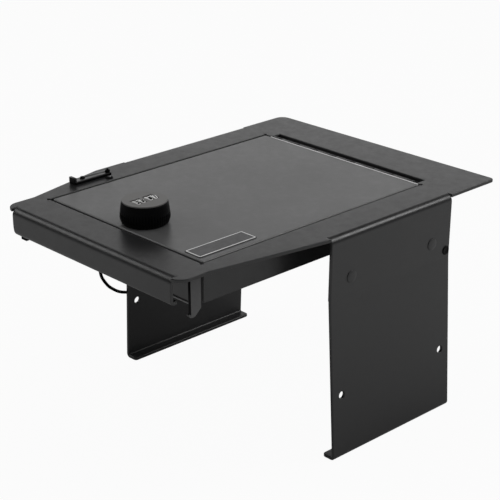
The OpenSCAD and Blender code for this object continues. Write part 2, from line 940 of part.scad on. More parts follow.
// A leaf with its own knuckles, every second one, starting at the first or second
module hinge_leaf(first, edge_y) {
    neck_y = hinge_y + sign(edge_y - hinge_y) * (knuckle_r + leaf_clear);
    difference() {
        union() {
            block(
                [lid_x - hinge_half_length, min(neck_y, edge_y), leaf_z],
                [lid_x + hinge_half_length, max(neck_y, edge_y), under_z]
            );
            for (i = [first : 2 : knuckle_count - 1]) {
                block(
                    [knuckle_start(i), min(neck_y, hinge_y), leaf_z],
                    [knuckle_end(i), max(neck_y, hinge_y), under_z]
                );
                translate([knuckle_start(i), hinge_y, hinge_z])
                    rotate([0, 90, 0])
                        cylinder(r = knuckle_r, h = knuckle_length - knuckle_gap);
            }
        }
        translate([lid_x - hinge_half_length - past, hinge_y, hinge_z])
            rotate([0, 90, 0])
                cylinder(r = bore_r, h = 2 * (hinge_half_length + past));
    }
}

module frame_hinge_leaf() {
    color(sheet_color)
        hinge_leaf(0, slot_back_y + frame_leaf_depth - slot_depth / 2);
}

module lid_hinge_leaf() {
    color(sheet_color)
        hinge_leaf(1, lid_leaf_front_y);
}

module hinge_pin() {
    half_length = hinge_half_length;
    color(steel_color)
        translate([lid_x - half_length, hinge_y, hinge_z])
            rotate([0, 90, 0]) {
                cylinder(d = pin_d, h = 2 * half_length);
                translate([0, 0, -pin_head_t])
                    cylinder(r = pin_d / 2 + 0.5, h = pin_head_t);
            }
}

module lid_rest() {
    block(
        [opening_half_width - rest_depth, rest_y, rest_top_z - rest_t],
        [opening_half_width, rest_y + rest_width, rest_top_z]
    );
}

module left_lid_rest() {
    color(sheet_color)
        on_lid_side(-1)
            lid_rest();
}

module right_lid_rest() {
    color(sheet_color)
        on_lid_side(1)
            lid_rest();
}

module lid_bumpers() {
    color(rubber_color)
        for (side = [-1, 1])
            on_lid_side(side)
                translate([bumper_x, rest_y + rest_width / 2, rest_top_z])
                    cylinder(r = bumper_r, h = bumper_t);
}

module strike_holes(from_y, to_y) {
    for (side = [-1, 1])
        translate([lid_x + side * strike_screw_pos, to_y, strike_screw_z])
            rotate([90, 0, 0])
                cylinder(r = strike_screw_r + seat_clear / 2, h = to_y - from_y);
}

module strike_plate() {
    color(steel_color)
        difference() {
            along_x(lid_x - strike_half_width, lid_x + strike_half_width) {
                panel([open_front_y, strike_z], [open_front_y + strike_depth, strike_z + strike_t]);
                panel([open_front_y, strike_z], [open_front_y + strike_t, strike_z + strike_height]);
            }
            strike_holes(open_front_y - past, open_front_y + strike_t + past);
        }
}

module strike_screws() {
    color(steel_color)
        for (side = [-1, 1])
            translate([lid_x + side * strike_screw_pos, open_front_y + strike_t, strike_screw_z])
                rotate([90, 0, 0]) {
                    cylinder(r = strike_screw_r, h = strike_t + sheet_t);
                    translate([0, 0, -strike_head_t])
                        difference() {
                            cylinder(r = strike_head_r, h = strike_head_t);
                            translate([0, 0, -past])
                                cylinder(r = strike_head_r / 2, h = past + strike_head_t / 2);
                        }
                }
}

module rim_bracket() {
    color(black_color) {
        difference() {
            along_z(top_height, bracket_top_z)
                difference() {
                    translate([bracket_left_x, bracket_y])
                        rounded_panel([bracket_width, bracket_length], bracket_t / 2);
                    for (p = [bracket_screw_pos, post_pos])
                        translate(p)
                            circle(bracket_shank_r + seat_clear);
                }
        }
        block(
            [bracket_right_x - past - upright_width, bracket_y, bracket_top_z - bracket_t / 2],
            [bracket_right_x - past, bracket_y + bracket_t, top_height + bracket_upright]
        );
    }
}

module bracket_screw() {
    color(black_color)
        translate([bracket_screw_pos[0], bracket_screw_pos[1], bracket_top_z]) {
            difference() {
                cylinder(r1 = bracket_head_r, r2 = 0.8 * bracket_head_r, h = screw_head_t);
                translate([0, 0, screw_head_t / 2])
                    cylinder(r = screw_socket_r, h = screw_head_t);
            }
            translate([0, 0, -bracket_t - sheet_t])
                cylinder(r = bracket_shank_r, h = bracket_t + sheet_t);
        }
}

module contact_post() {
    color(black_color)
        translate([post_pos[0], post_pos[1], bracket_top_z]) {
            cylinder(r = post_r, h = post_height);
            translate([0, 0, post_height])
                cylinder(r = post_tip_r, h = post_tip_t);
            translate([0, 0, -bracket_t - sheet_t])
                cylinder(r = bracket_shank_r, h = bracket_t + sheet_t);
        }
}

// Rubber grommet in a sheet whose outer face lies at Z = 0
module grommet() {
    cylinder(r = grommet_rim_r, h = grommet_rim_t);
    translate([0, 0, -sheet_t])
        cylinder(r = grommet_hole_r - run_clear, h = sheet_t);
    translate([0, 0, -sheet_t - grommet_rim_t])
        cylinder(r = grommet_rim_r, h = grommet_rim_t);
}

module rim_grommet() {
    color(rubber_color)
        translate([grommet_x, grommet_y, top_height])
            difference() {
                grommet();
                translate([0, 0, -sheet_t - grommet_rim_t - past])
                    cylinder(r = terminal_r + run_clear, h = sheet_t + 2 * (grommet_rim_t + past));
            }
}

module skirt_grommet() {
    color(rubber_color)
        translate([lid_x - skirt_outer, skirt_grommet_y, skirt_grommet_z])
            rotate([0, -90, 0])
                grommet();
}

module cable_terminal() {
    color(steel_color)
        translate([grommet_x, grommet_y, 0]) {
            translate([0, 0, terminal_end_z])
                cylinder(r = terminal_r, h = top_height + grommet_rim_t - terminal_end_z);
            translate([0, 0, top_height + grommet_rim_t])
                cylinder(r = terminal_head_r, h = terminal_head_t);
        }
}

module cable() {
    color(rubber_color)
        polyhedron(cable_vertices, concat(cable_walls, cable_caps));
}

// Top of the lid seen from one side, with its two upper edges rounded
module lid_section(from, to) {
    panel([from, lid_bottom_z], [to, top_height - lid_edge_r]);
    panel([from + lid_edge_r, lid_bottom_z], [to - lid_edge_r, top_height]);
    for (edge = [from + lid_edge_r, to - lid_edge_r])
        translate([edge, top_height - lid_edge_r])
            circle(lid_edge_r);
}

module lid_panel() {
    color(lid_color)
        difference() {
            intersection() {
                along_y(lid_front_y, lid_back_y)
                    lid_section(lid_x - lid_half_width, lid_x + lid_half_width);
                along_x(lid_x - lid_half_width, lid_x + lid_half_width)
                    lid_section(lid_front_y, lid_back_y);
            }
            block(
                [lid_x - lid_half_width + lid_flange_t, lid_front_y + lid_flange_t, lid_bottom_z - past],
                [lid_x + lid_half_width - lid_flange_t, lid_back_y + past, under_z]
            );
            at_knob()
                along_z(under_z - past, top_height + past)
                    barrel_section(barrel_r + barrel_clear, barrel_flats + 2 * barrel_clear);
        }
}

module label_plate() {
    right_x = lid_x + lid_half_width - label_side_gap;
    color(black_color)
        translate([right_x - label_width, lid_front_y + label_front_gap, top_height])
            linear_extrude(label_t)
                rounded_panel([label_width, label_length], label_corner_r);
}

// Round barrel with two flats, seen from above
module barrel_section(radius, flats) {
    intersection() {
        circle(radius);
        square([flats, 4 * radius], center = true);
    }
}

module lock_barrel() {
    color(steel_color)
        at_knob()
            difference() {
                union() {
                    along_z(top_height, top_height + barrel_flange_t)
                        circle(barrel_flange_r);
                    along_z(barrel_z, top_height)
                        barrel_section(barrel_r, barrel_flats);
                }
                translate([0, 0, barrel_z - past])
                    cylinder(r = spindle_r + run_clear, h = barrel_length + barrel_flange_t + 2 * past);
            }
}

module lock_washer() {
    color(steel_color)
        at_knob()
            along_z(washer_z, under_z)
                difference() {
                    circle(washer_r);
                    circle(barrel_r + seat_clear);
                }
}

module lock_nut() {
    color(steel_color)
        at_knob()
            along_z(nut_z, washer_z)
                difference() {
                    circle(nut_flats / sqrt(3), $fn = 6);
                    circle(barrel_r + run_clear);
                }
}

module knob_shell() {
    rotate_extrude()
        polygon([
            [0, knob_z],
            [knob_foot_r, knob_z],
            [knob_wide_r, knob_wide_z],
            [knob_bend_r, knob_bend_z],
            [knob_top_r, knob_top_z - knob_edge],
            [knob_top_r - knob_edge, knob_top_z],
            [0, knob_top_z]
        ]);
}

module knob_body() {
    color(black_color)
        difference() {
            at_knob()
                difference() {
                    knob_shell();
                    for (i = [0 : rib_count - 1])
                        rotate([0, 0, 360 * i / rib_count])
                            translate([knob_wide_r + groove_r / 3, 0, knob_z - past])
                                cylinder(r = groove_r, h = rib_height + past, $fn = 16);
                    translate([0, 0, knob_z - past])
                        cylinder(r = recess_r, h = recess_z - knob_z + past);
                    translate([0, 0, recess_z - past])
                        cylinder(r = spindle_r + run_clear, h = spindle_top_z - recess_z + past);
                }
            along_row() {
                block(
                    [-pocket_width / 2, -pocket_length / 2, pocket_z],
                    [pocket_width / 2, pocket_length / 2, knob_top_z + past]
                );
                translate([0, axle_length / 2, axle_z])
                    rotate([90, 0, 0])
                        cylinder(r = axle_d / 2 + run_clear, h = axle_length);
            }
        }
}

module knob_face() {
    color(black_color)
        difference() {
            at_knob()
                along_z(knob_top_z, face_z)
                    circle(face_r);
            along_row()
                for (y = wheel_positions)
                    block(
                        [-window_length / 2, y - window_width / 2, knob_top_z - past],
                        [window_length / 2, y + window_width / 2, face_z + past]
                    );
        }
}

module wheel_axle() {
    color(steel_color)
        along_row()
            translate([0, axle_length / 2, axle_z])
                rotate([90, 0, 0])
                    cylinder(d = axle_d, h = axle_length);
}

module spindle() {
    color(steel_color)
        at_knob()
            difference() {
                union() {
                    along_z(arm_top_z, spindle_top_z)
                        circle(spindle_r);
                    along_z(arm_z, arm_top_z)
                        square_section(0);
                }
                translate([0, 0, arm_z - past])
                    cylinder(r = arm_screw_r + run_clear, h = arm_screw_depth + past);
            }
}

// Squared end of the spindle with rounded corners, with a clearance round it
module square_section(clearance) {
    intersection() {
        circle(spindle_r + clearance);
        square(square_width + 2 * clearance, center = true);
    }
}

module latch_arm() {
    color(steel_color)
        at_knob()
            along_z(arm_z, arm_top_z)
                difference() {
                    union() {
                        circle(arm_hub_r);
                        translate([0, -arm_width / 2])
                            square([arm_length - arm_width / 2, arm_width]);
                        translate([arm_length - arm_width / 2, 0])
                            circle(arm_width / 2);
                    }
                    square_section(run_clear);
                }
}

module arm_screw() {
    color(steel_color)
        at_knob()
            translate([0, 0, arm_z]) {
                translate([0, 0, -arm_screw_flange_t])
                    cylinder(r = arm_screw_head_r, h = arm_screw_flange_t);
                translate([0, 0, -arm_screw_flange_t - arm_screw_hex_t])
                    cylinder(r = arm_screw_hex / sqrt(3), h = arm_screw_hex_t, $fn = 6);
                cylinder(r = arm_screw_r, h = arm_screw_depth - past);
            }
}

module number_wheel(position) {
    color(mark_color)
        along_row()
            translate([0, position + wheel_width / 2, axle_z])
                rotate([90, 0, 0])
                    difference() {
                        cylinder(r = wheel_r, h = wheel_width);
                        translate([0, 0, -past])
                            cylinder(r = axle_d / 2 + run_clear, h = wheel_width + 2 * past);
                        for (i = [0 : wheel_marks - 1])
                            rotate([0, 0, 360 * (i + 0.5) / wheel_marks])
                                translate([wheel_r + mark_groove_r / 2, 0, -past])
                                    cylinder(r = mark_groove_r, h = wheel_width + 2 * past, $fn = 16);
                    }
}

module number_wheel_1() {
    number_wheel(wheel_positions[0]);
}

module number_wheel_2() {
    number_wheel(wheel_positions[1]);
}

module number_wheel_3() {
    number_wheel(wheel_positions[2]);
}

module number_wheel_4() {
    number_wheel(wheel_positions[3]);
}

top_plate();
front_apron();
left_leg();
right_leg();
left_doubler();
right_doubler();
leg_rivets();
rubber_plugs();
skirt_front();
skirt_rear();
skirt_left();
skirt_right();
left_hook_tab();
right_hook_tab();
frame_hinge_leaf();
hinge_pin();
left_lid_rest();
right_lid_rest();
lid_bumpers();
strike_plate();
strike_screws();
rim_bracket();
bracket_screw();
contact_post();
rim_grommet();
skirt_grommet();
cable_terminal();
cable();
lid_panel();
lid_hinge_leaf();
label_plate();
lock_barrel();
lock_washer();
lock_nut();
knob_body();
knob_face();
wheel_axle();
spindle();
latch_arm();
arm_screw();
number_wheel_1();
number_wheel_2();
number_wheel_3();
number_wheel_4();
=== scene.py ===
import math

import bmesh
import bpy
from mathutils import Matrix, Vector


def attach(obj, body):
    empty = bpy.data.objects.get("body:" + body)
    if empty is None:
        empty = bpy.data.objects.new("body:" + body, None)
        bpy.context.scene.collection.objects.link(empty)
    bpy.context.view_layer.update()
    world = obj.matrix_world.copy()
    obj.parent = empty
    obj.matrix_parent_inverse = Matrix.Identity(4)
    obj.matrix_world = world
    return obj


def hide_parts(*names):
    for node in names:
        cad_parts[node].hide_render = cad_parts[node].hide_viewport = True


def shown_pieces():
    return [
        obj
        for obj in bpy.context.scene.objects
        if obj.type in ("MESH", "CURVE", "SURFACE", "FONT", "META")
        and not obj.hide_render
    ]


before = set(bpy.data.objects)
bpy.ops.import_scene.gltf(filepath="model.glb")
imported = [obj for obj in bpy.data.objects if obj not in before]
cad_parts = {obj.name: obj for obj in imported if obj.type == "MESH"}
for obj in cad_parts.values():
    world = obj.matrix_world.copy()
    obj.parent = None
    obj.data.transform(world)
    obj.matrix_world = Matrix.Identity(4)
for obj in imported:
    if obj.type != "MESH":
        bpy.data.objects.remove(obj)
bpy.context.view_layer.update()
scene = bpy.context.scene


def linked(name, data):
    """A new object in the scene."""
    ob = bpy.data.objects.new(name, data)
    scene.collection.objects.link(ob)
    return ob


# ---------------------------------------------------------------- camera
CAMERA_PLACE = (0.92769, -0.86275, 0.66631)
CAMERA_HEADING, CAMERA_DOWN, CAMERA_ROLL = 46.973, 22.352, -0.386


def make_camera():
    data = bpy.data.cameras.new("camera")
    data.lens = 110.2
    data.sensor_width = 36.0
    data.clip_start = 0.05
    data.clip_end = 30.0
    cam = linked("camera", data)
    turn = Matrix.Rotation(math.radians(CAMERA_HEADING), 4, "Z")
    turn = turn @ Matrix.Rotation(math.radians(90 - CAMERA_DOWN), 4, "X")
    turn = turn @ Matrix.Rotation(math.radians(CAMERA_ROLL), 4, "Z")
    cam.matrix_world = Matrix.Translation(CAMERA_PLACE) @ turn
    scene.camera = cam


make_camera()

# ---------------------------------------------------------------- sizes as in the CAD
TOP, T = 0.2035, 0.003                              # upper face of the plate, thickness of the sheet
UNDER = TOP - T
FRONT, BACK = -0.1775, 0.1775
BACK_SKEW = 0.0045                                  # how far the back edge's left end lies forward
HALF, FRONT_HALF, FOOT_HALF = 0.1352, 0.1145, 0.1406
LEFT_EAR, RIGHT_EAR = 0.1324, 0.1345                # half widths of the plate beside the legs
FOLD, SMALL_FOLD = 0.006, 0.004                     # outer radii: along the plate, at feet and lip
FOLD_X, FOLD_Y = HALF - FOLD, FRONT + FOLD          # where the plate starts to fold down
LEG_0, LEG_1 = -0.0316, 0.1184                      # front and back edges of the legs
LEG_MID = (LEG_0 + LEG_1) / 2
KNEE_X, KNEE_Z = 0.1340, TOP - 0.058
UPPER_LEG = TOP - FOLD - KNEE_Z
LEAN = math.atan2(HALF - KNEE_X, UPPER_LEG)         # how much the upper leg leans in
BOLT_R, BOLT_Z, BOLT_HALF = 0.0033, 0.059, 0.0635   # leg holes, BOLT_HALF before and behind LEG_MID
RIVET_Z, RIVET_HALF = TOP - 0.040, 0.0508
PLUG_Y, PLUG_Z = LEG_1 - 0.005, TOP - 0.051
APRON_DROP, APRON_HALF = 0.024, 0.104
OPEN_0, OPEN_1, OPEN_HALF = -0.141, 0.1185, 0.100   # the opening under the lid
SLOT_BACK = 0.1295                                  # the hinge's slot behind it
RELIEF = 0.0015                                     # radius of the holes at its corners
SKIRT_DROP, SKIRT_FRONT, SKIRT_BACK = 0.0345, OPEN_0 - T, 0.150
TAB_DROP = 0.038
LID_X = -0.001                                      # middle of the opening and the lid
LID_HALF = OPEN_HALF - 0.002
LID_BACK = OPEN_1 - 0.00125
KNOB = (LID_X, -0.115)

# ---------------------------------------------------------------- sizes of the scene alone
EDGE = 0.0007                                       # radius on the edges of the thick sheet
KNEE_R, FOOT_DEPTH = 0.008, 0.0098
SLIT = 0.0004                                       # gap that parts a fold from the plate beside it
APRON_EAR = APRON_HALF + SLIT
SLOT_ENDS = (-0.0915, 0.0935)
LID_FRONT = OPEN_0 + 0.0030                         # 1 mm further back than in the CAD
SKIRT_SHORTER, LEFT_TAB_SHORTER = 0.0017, 0.0055    # than in the CAD


# ---------------------------------------------------------------- helpers for pieces
def new_object(name, mesh, body, slot, look=None):
    """A piece on a body. Its look is the material of its slot unless another is named."""
    ob = linked(name, mesh)
    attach(ob, body)
    ob["look"] = look or slot
    return ob


def finish_mesh(bm, name):
    mesh = bpy.data.meshes.new(name)
    bmesh.ops.recalc_face_normals(bm, faces=bm.faces)
    bm.to_mesh(mesh)
    bm.free()
    return mesh


def smooth(ob, angle):
    """Shades smoothly across edges below an angle in degrees."""
    for p in ob.data.polygons:
        p.use_smooth = True
    ob.data.set_sharp_from_angle(angle=math.radians(angle))


def smooth_flats(ob):
    """Shades the rounded edges smoothly and keeps the flat faces flat."""
    smooth(ob, 40)
    mod = ob.modifiers.new("normals", "WEIGHTED_NORMAL")
    mod.keep_sharp = True
    mod.weight = 80


def sheet_piece(bm, name, body, slot, look=None):
    ob = new_object(name, finish_mesh(bm, name), body, slot, look)
    smooth_flats(ob)
    return ob


def apply_modifiers(ob):
    graph = bpy.context.evaluated_depsgraph_get()
    mesh = bpy.data.meshes.new_from_object(ob.evaluated_get(graph))
    old = ob.data
    ob.modifiers.clear()
    ob.data = mesh
    mesh.materials.clear()
    for mat in old.materials:
        mesh.materials.append(mat)
    bpy.data.meshes.remove(old)


# ---------------------------------------------------------------- helpers for meshes
def as_bmesh(mesh):
    """A bmesh in place of a mesh, which is removed."""
    bm = bmesh.new()
    bm.from_mesh(mesh)
    bpy.data.meshes.remove(mesh)
    return bm


def joined(parts):
    """One bmesh of several, each moved to its place."""
    out = bmesh.new()
    for bm, place in parts:
        bm.transform(place)
        mesh = bpy.data.meshes.new("part")
        bm.to_mesh(mesh)
        bm.free()
        out.from_mesh(mesh)
        bpy.data.meshes.remove(mesh)
    return out


def slice_all(bm, planes, dist):
    """Cuts the faces along planes of (point, normal), so that they can be bent there."""
    for point, normal in planes:
        geom = bm.verts[:] + bm.edges[:] + bm.faces[:]
        bmesh.ops.bisect_plane(bm, geom=geom, plane_co=point, plane_no=normal, dist=dist)


def bridge(bm, a, b):
    """Faces between two closed rows of vertices. A row of one vertex is a point."""
    n = max(len(a), len(b))
    for i in range(n):
        j = (i + 1) % n
        if len(a) == 1:
            bm.faces.new((a[0], b[i], b[j]))
        elif len(b) == 1:
            bm.faces.new((a[i], a[j], b[0]))
        else:
            bm.faces.new((a[i], a[j], b[j], b[i]))


def circle(bm, r, z, n):
    """Closed row of n vertices round Z."""
    turns = [2 * math.pi * i / n for i in range(n)]
    return [bm.verts.new((r * math.cos(a), r * math.sin(a), z)) for a in turns]


def box_mesh(lo, hi):
    bm = bmesh.new()
    bmesh.ops.create_cube(bm, size=1.0)
    for v in bm.verts:
        v.co = Vector([lo[i] if v.co[i] < 0 else hi[i] for i in range(3)])
    return bm


def rounded_box(name, lo, hi, edge, body, slot, look=None, segments=3):
    bm = box_mesh(lo, hi)
    bmesh.ops.bevel(bm, geom=bm.edges[:], offset=edge, segments=segments, affect="EDGES", profile=0.5)
    sheet_piece(bm, name, body, slot, look)


def cut_away(ob, bm):
    """Takes the solid bm out of the piece."""
    cutter = linked("cutter", finish_mesh(bm, "cutter"))
    mod = ob.modifiers.new("cut", "BOOLEAN")
    mod.object = cutter
    mod.solver = "EXACT"
    apply_modifiers(ob)
    bpy.data.objects.remove(cutter)


# ---------------------------------------------------------------- helpers for lines and flat sheets
def arc(cx, cy, r, a0, a1, n):
    """n + 1 points from angle a0 to a1, in degrees."""
    angles = [math.radians(a0 + (a1 - a0) * i / n) for i in range(n + 1)]
    return [(cx + r * math.cos(a), cy + r * math.sin(a)) for a in angles]


def ring(cx, cy, r, n):
    return arc(cx, cy, r, 0, 360 - 360 / n, n - 1)


def round_corners(x0, y0, x1, y1, r, n=4):
    """Rectangle between two corners, rounded with radius r."""
    return (arc(x0 + r, y0 + r, r, 180, 270, n) + arc(x1 - r, y0 + r, r, 270, 360, n)
            + arc(x1 - r, y1 - r, r, 0, 90, n) + arc(x0 + r, y1 - r, r, 90, 180, n))


def new_curve(name, dimensions, bevel, steps):
    data = bpy.data.curves.new(name, "CURVE")
    data.dimensions = dimensions
    data.bevel_depth = bevel
    data.bevel_resolution = steps
    return data


def add_line(data, points, closed):
    line = data.splines.new("POLY")
    line.points.add(len(points) - 1)
    for p, co in zip(line.points, points):
        p.co = (*co, 1)
    line.use_cyclic_u = closed


def curve_mesh(data):
    """Mesh in place of a curve or a text, which is removed."""
    tmp = linked(data.name, data)
    graph = bpy.context.evaluated_depsgraph_get()
    mesh = bpy.data.meshes.new_from_object(tmp.evaluated_get(graph))
    bpy.data.objects.remove(tmp)
    bpy.data.curves.remove(data)
    return mesh


def flat_sheet(name, outlines, thickness, edge, steps=3, top=0.0):
    """Sheet with rounded edges from closed outlines, with its upper face at Z = top."""
    data = new_curve(name, "2D", edge, steps)
    data.fill_mode = "BOTH"
    data.extrude = thickness / 2 - edge
    data.offset = -edge
    data.resolution_u = 1
    for outline in outlines:
        add_line(data, [(x, y, 0) for x, y in outline], True)
    bm = as_bmesh(curve_mesh(data))
    bmesh.ops.translate(bm, verts=bm.verts, vec=(0, 0, -thickness / 2))
    bmesh.ops.remove_doubles(bm, verts=bm.verts, dist=2e-6)
    bmesh.ops.translate(bm, verts=bm.verts, vec=(0, 0, top))
    return bm


# ---------------------------------------------------------------- cross sections of the folds
def ahead_of(a):
    return Vector((math.cos(a), math.sin(a)))


def left_of(a):
    return Vector((-math.sin(a), math.cos(a)))


class Profile:
    """Outer face of a folded sheet in its cross section: straight lengths and arcs, walked by length."""

    def __init__(self, start, heading, parts):
        """Parts are ("line", length, 0) and ("arc", degrees, radius)."""
        self.parts = []
        self.length = 0.0
        p, a = Vector(start), math.radians(heading)
        for kind, value, radius in parts:
            if kind == "line":
                self.parts.append((self.length, value, kind, p.copy(), a, 0.0, 0.0))
                p = p + ahead_of(a) * value
                self.length += value
            else:
                turn = math.radians(value)
                length = abs(turn) * radius
                self.parts.append((self.length, length, kind, p.copy(), a, turn, radius))
                side = 1 if turn > 0 else -1
                centre = p + left_of(a) * radius * side
                a += turn
                p = centre - left_of(a) * radius * side
                self.length += length

    def at(self, u):
        """Point and outward normal at a length along the face."""
        start, length, kind, p, a, turn, radius = [q for q in self.parts if q[0] <= u + 1e-9][-1]
        if kind == "line":
            return p + ahead_of(a) * (u - start), left_of(a)
        side = 1 if turn > 0 else -1
        centre = p + left_of(a) * radius * side
        normal = left_of(a + turn * min(1.0, (u - start) / length))
        return centre - normal * radius * side, normal

    def cuts(self, step):
        """Lengths that divide the arcs into steps of so many degrees or less."""
        out = []
        for start, length, kind, _, _, turn, _ in self.parts:
            if kind == "arc":
                n = max(3, int(math.ceil(abs(math.degrees(turn)) / step)))
                out += [start + length * i / n for i in range(n + 1)]
        return out


def leg_profile():
    """The leg from fold to foot. Its straight lengths are solved for the knee and the floor."""
    lean = math.degrees(LEAN)
    spread = math.degrees(math.atan2(FOOT_HALF - KNEE_X, KNEE_Z - SMALL_FOLD))
    upper, lower = 0.05, 0.134
    for _ in range(6):
        prof = Profile((FOLD_X, TOP), 0, [
            ("arc", -(90 + lean), FOLD), ("line", upper, 0), ("arc", lean + spread, KNEE_R),
            ("line", lower, 0), ("arc", -(90 + spread), SMALL_FOLD), ("line", FOOT_DEPTH, 0),
        ])
        knee, foot = prof.parts[2][3], prof.parts[5][3]
        upper += knee.y - (KNEE_Z + 0.0004)
        lower += foot.y - 0.00001
    return prof


LEG = leg_profile()
APRON = Profile((-FOLD_Y, TOP), 0, [
    ("arc", -90, FOLD), ("line", APRON_DROP - FOLD - SMALL_FOLD, 0),
    ("arc", -90, SMALL_FOLD), ("line", 0.003, 0),
])

# ---------------------------------------------------------------- cable
CABLE_D = 0.0025                                    # as in the CAD
CABLE_SHOWN = 0.0030                                # as drawn, nearer to the photo
SIDE = -FOOT_HALF + CABLE_D / 2 + 0.0002            # the loop's place beside the left leg
CABLE = [
    (-0.1080, -0.06875, 0.1965), (-0.1080, -0.06875, 0.1940), (-0.1083, -0.06965, 0.1815),
    (-0.1096, -0.07275, 0.1600), (-0.1115, -0.0765, 0.1380), (-0.1130, -0.0795, 0.1200),
    (-0.1162, -0.0765, 0.1067), (SIDE + 0.0182, -0.0663, 0.0932), (SIDE + 0.0116, -0.0551, 0.0837),
    (SIDE + 0.0046, -0.0427, 0.0750), (SIDE, -0.0307, 0.0691), (SIDE, -0.0140, 0.0645),
    (SIDE, 0.0070, 0.0620), (SIDE, 0.0290, 0.0628), (SIDE, 0.0520, 0.0675), (SIDE, 0.0750, 0.0795),
    (SIDE, 0.0950, 0.0975), (SIDE + 0.0004, 0.1120, 0.1195), (SIDE + 0.0040, 0.1250, 0.1415),
    (SIDE + 0.0120, 0.1330, 0.1605), (SIDE + 0.0220, 0.1360, 0.1745), (-0.1098, 0.1360, 0.1815),
    (-0.1073, 0.1360, 0.1815), (-0.1048, 0.1360, 0.1815),
]


def cable_route(steps=6):
    """Smooth line through the cable's points, with a straight first and last length."""
    pts = [Vector(p) for p in CABLE]
    last = len(pts) - 1
    out = []
    for i in range(last):
        if i in (0, last - 1):
            out.append(pts[i])
            continue
        a, b, c, d = pts[i - 1:i + 3]
        for s in range(steps):
            t = s / steps
            bend = (2 * a - 5 * b + 4 * c - d) * t * t + (3 * b - a - 3 * c + d) * t ** 3
            out.append(0.5 * (2 * b + (c - a) * t + bend))
    return out + [pts[last]]


def make_cable():
    route = cable_route()
    data = new_curve("cable_line", "3D", CABLE_SHOWN / 2, 4)
    data.use_fill_caps = True
    add_line(data, route, False)
    ob = new_object("cable_cord", curve_mesh(data), "frame", "cable_jacket")
    smooth(ob, 50)
    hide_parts("cable")


make_cable()


# ---------------------------------------------------------------- folded plate, apron and legs
def half_outline(sign, ear, flare_end, back, corner):
    """One side of the flat sheet from its front corner to its back corner, with the leg unfolded."""
    inside = FOLD_X - 0.0002
    far = FOLD_X + LEG.length
    front_r, foot_r = 0.011, 0.003
    pts = arc(FRONT_HALF - front_r, FRONT + front_r, front_r, -85, 0, 8)
    pts += [(FRONT_HALF, -0.147), (ear, flare_end)]
    if flare_end < LEG_0 - SLIT:
        pts.append((ear, LEG_0 - SLIT))
    pts += [(inside, LEG_0 - SLIT), (inside, LEG_0)]
    pts += arc(far - foot_r, LEG_0 + foot_r, foot_r, -90, 0, 6)
    pts += arc(far - foot_r, LEG_1 - foot_r, foot_r, 0, 90, 6)
    pts += [(inside, LEG_1), (inside, LEG_1 + SLIT), (ear, LEG_1 + SLIT)]
    pts += arc(ear - corner, back - corner, corner, 0, 90, 8)
    return [(sign * x, y) for x, y in pts]


def apron_outline():
    """The apron unfolded. Its lip is cut away in a curve at the left end."""
    end = FOLD_Y - APRON.length
    bend = FOLD_Y - FOLD * math.pi / 2 - 0.0085
    shoulder = FOLD_Y + 0.0003
    pts = [(-APRON_EAR, FRONT + 0.0001), (-APRON_EAR, shoulder), (-APRON_HALF, shoulder)]
    n = 8
    for i in range(n + 1):
        t = math.radians(90 * i / n)
        pts.append((-APRON_HALF + 0.010 * (1 - math.cos(t)), bend + (end - bend) * math.sin(t)))
    pts += arc(APRON_HALF - 0.0015, end + 0.0015, 0.0015, -90, 0, 4)
    return pts + [(APRON_HALF, shoulder), (APRON_EAR, shoulder), (APRON_EAR, FRONT + 0.0001)]


def sheet_outline():
    right = half_outline(1, RIGHT_EAR, LEG_0 - SLIT, BACK, 0.004)
    left = half_outline(-1, LEFT_EAR, FRONT + 0.112, BACK - BACK_SKEW, 0.009)
    return apron_outline() + right + left[::-1]


def opening_outline():
    """The opening with a relief hole at each corner and the hinge's slot behind it."""
    x0, x1 = LID_X - OPEN_HALF, LID_X + OPEN_HALF
    s0, s1 = SLOT_ENDS
    pts = arc(x0, OPEN_0, RELIEF, 90, 360, 12)
    pts += arc(x1, OPEN_0, RELIEF, 180, 450, 12)
    pts += arc(x1, OPEN_1, RELIEF, 270, 540, 12)
    pts += [(s1, OPEN_1), (s1, SLOT_BACK), (s0, SLOT_BACK), (s0, OPEN_1)]
    return pts + arc(x0, OPEN_1, RELIEF, 0, 270, 12)


def leg_u(z):
    """Length along the leg's profile at a height."""
    lo, hi = 0.0, LEG.length
    for _ in range(40):
        mid = (lo + hi) / 2
        if LEG.at(mid)[0].y > z:
            lo = mid
        else:
            hi = mid
    return lo


def folded(x, y, z):
    """Where a point of the flat sheet lies when the sheet is folded."""
    if abs(x) > FOLD_X - 1e-7 and LEG_0 - SLIT / 2 < y < LEG_1 + SLIT / 2:
        p, n = LEG.at(max(0.0, abs(x) - FOLD_X))
        return math.copysign(p.x + n.x * z, x), y, p.y + n.y * z
    if y < FOLD_Y + 1e-7 and abs(x) < (APRON_HALF + APRON_EAR) / 2:
        p, n = APRON.at(max(0.0, FOLD_Y - y))
        return x, -(p.x + n.x * z), p.y + n.y * z
    return x, y, TOP + z


def make_sheet():
    hole_u = FOLD_X + leg_u(BOLT_Z)
    outlines = [sheet_outline(), opening_outline()]
    for side in (-1, 1):
        for y in (LEG_MID - BOLT_HALF, LEG_MID + BOLT_HALF):
            outlines.append(ring(side * hole_u, y, BOLT_R, 32))
    bm = flat_sheet("folded_sheet", outlines, T, EDGE)
    planes = []
    for u in LEG.cuts(10):
        planes += [((side * (FOLD_X + u), 0, 0), (1, 0, 0)) for side in (1, -1)]
    planes += [((0, FOLD_Y - u, 0), (0, 1, 0)) for u in APRON.cuts(10)]
    slice_all(bm, planes, 1e-6)
    for v in bm.verts:
        v.co = folded(*v.co)
    ob = sheet_piece(bm, "folded_sheet", "frame", "frame_paint")
    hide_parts("top_plate", "front_apron", "left_leg", "right_leg")


make_sheet()
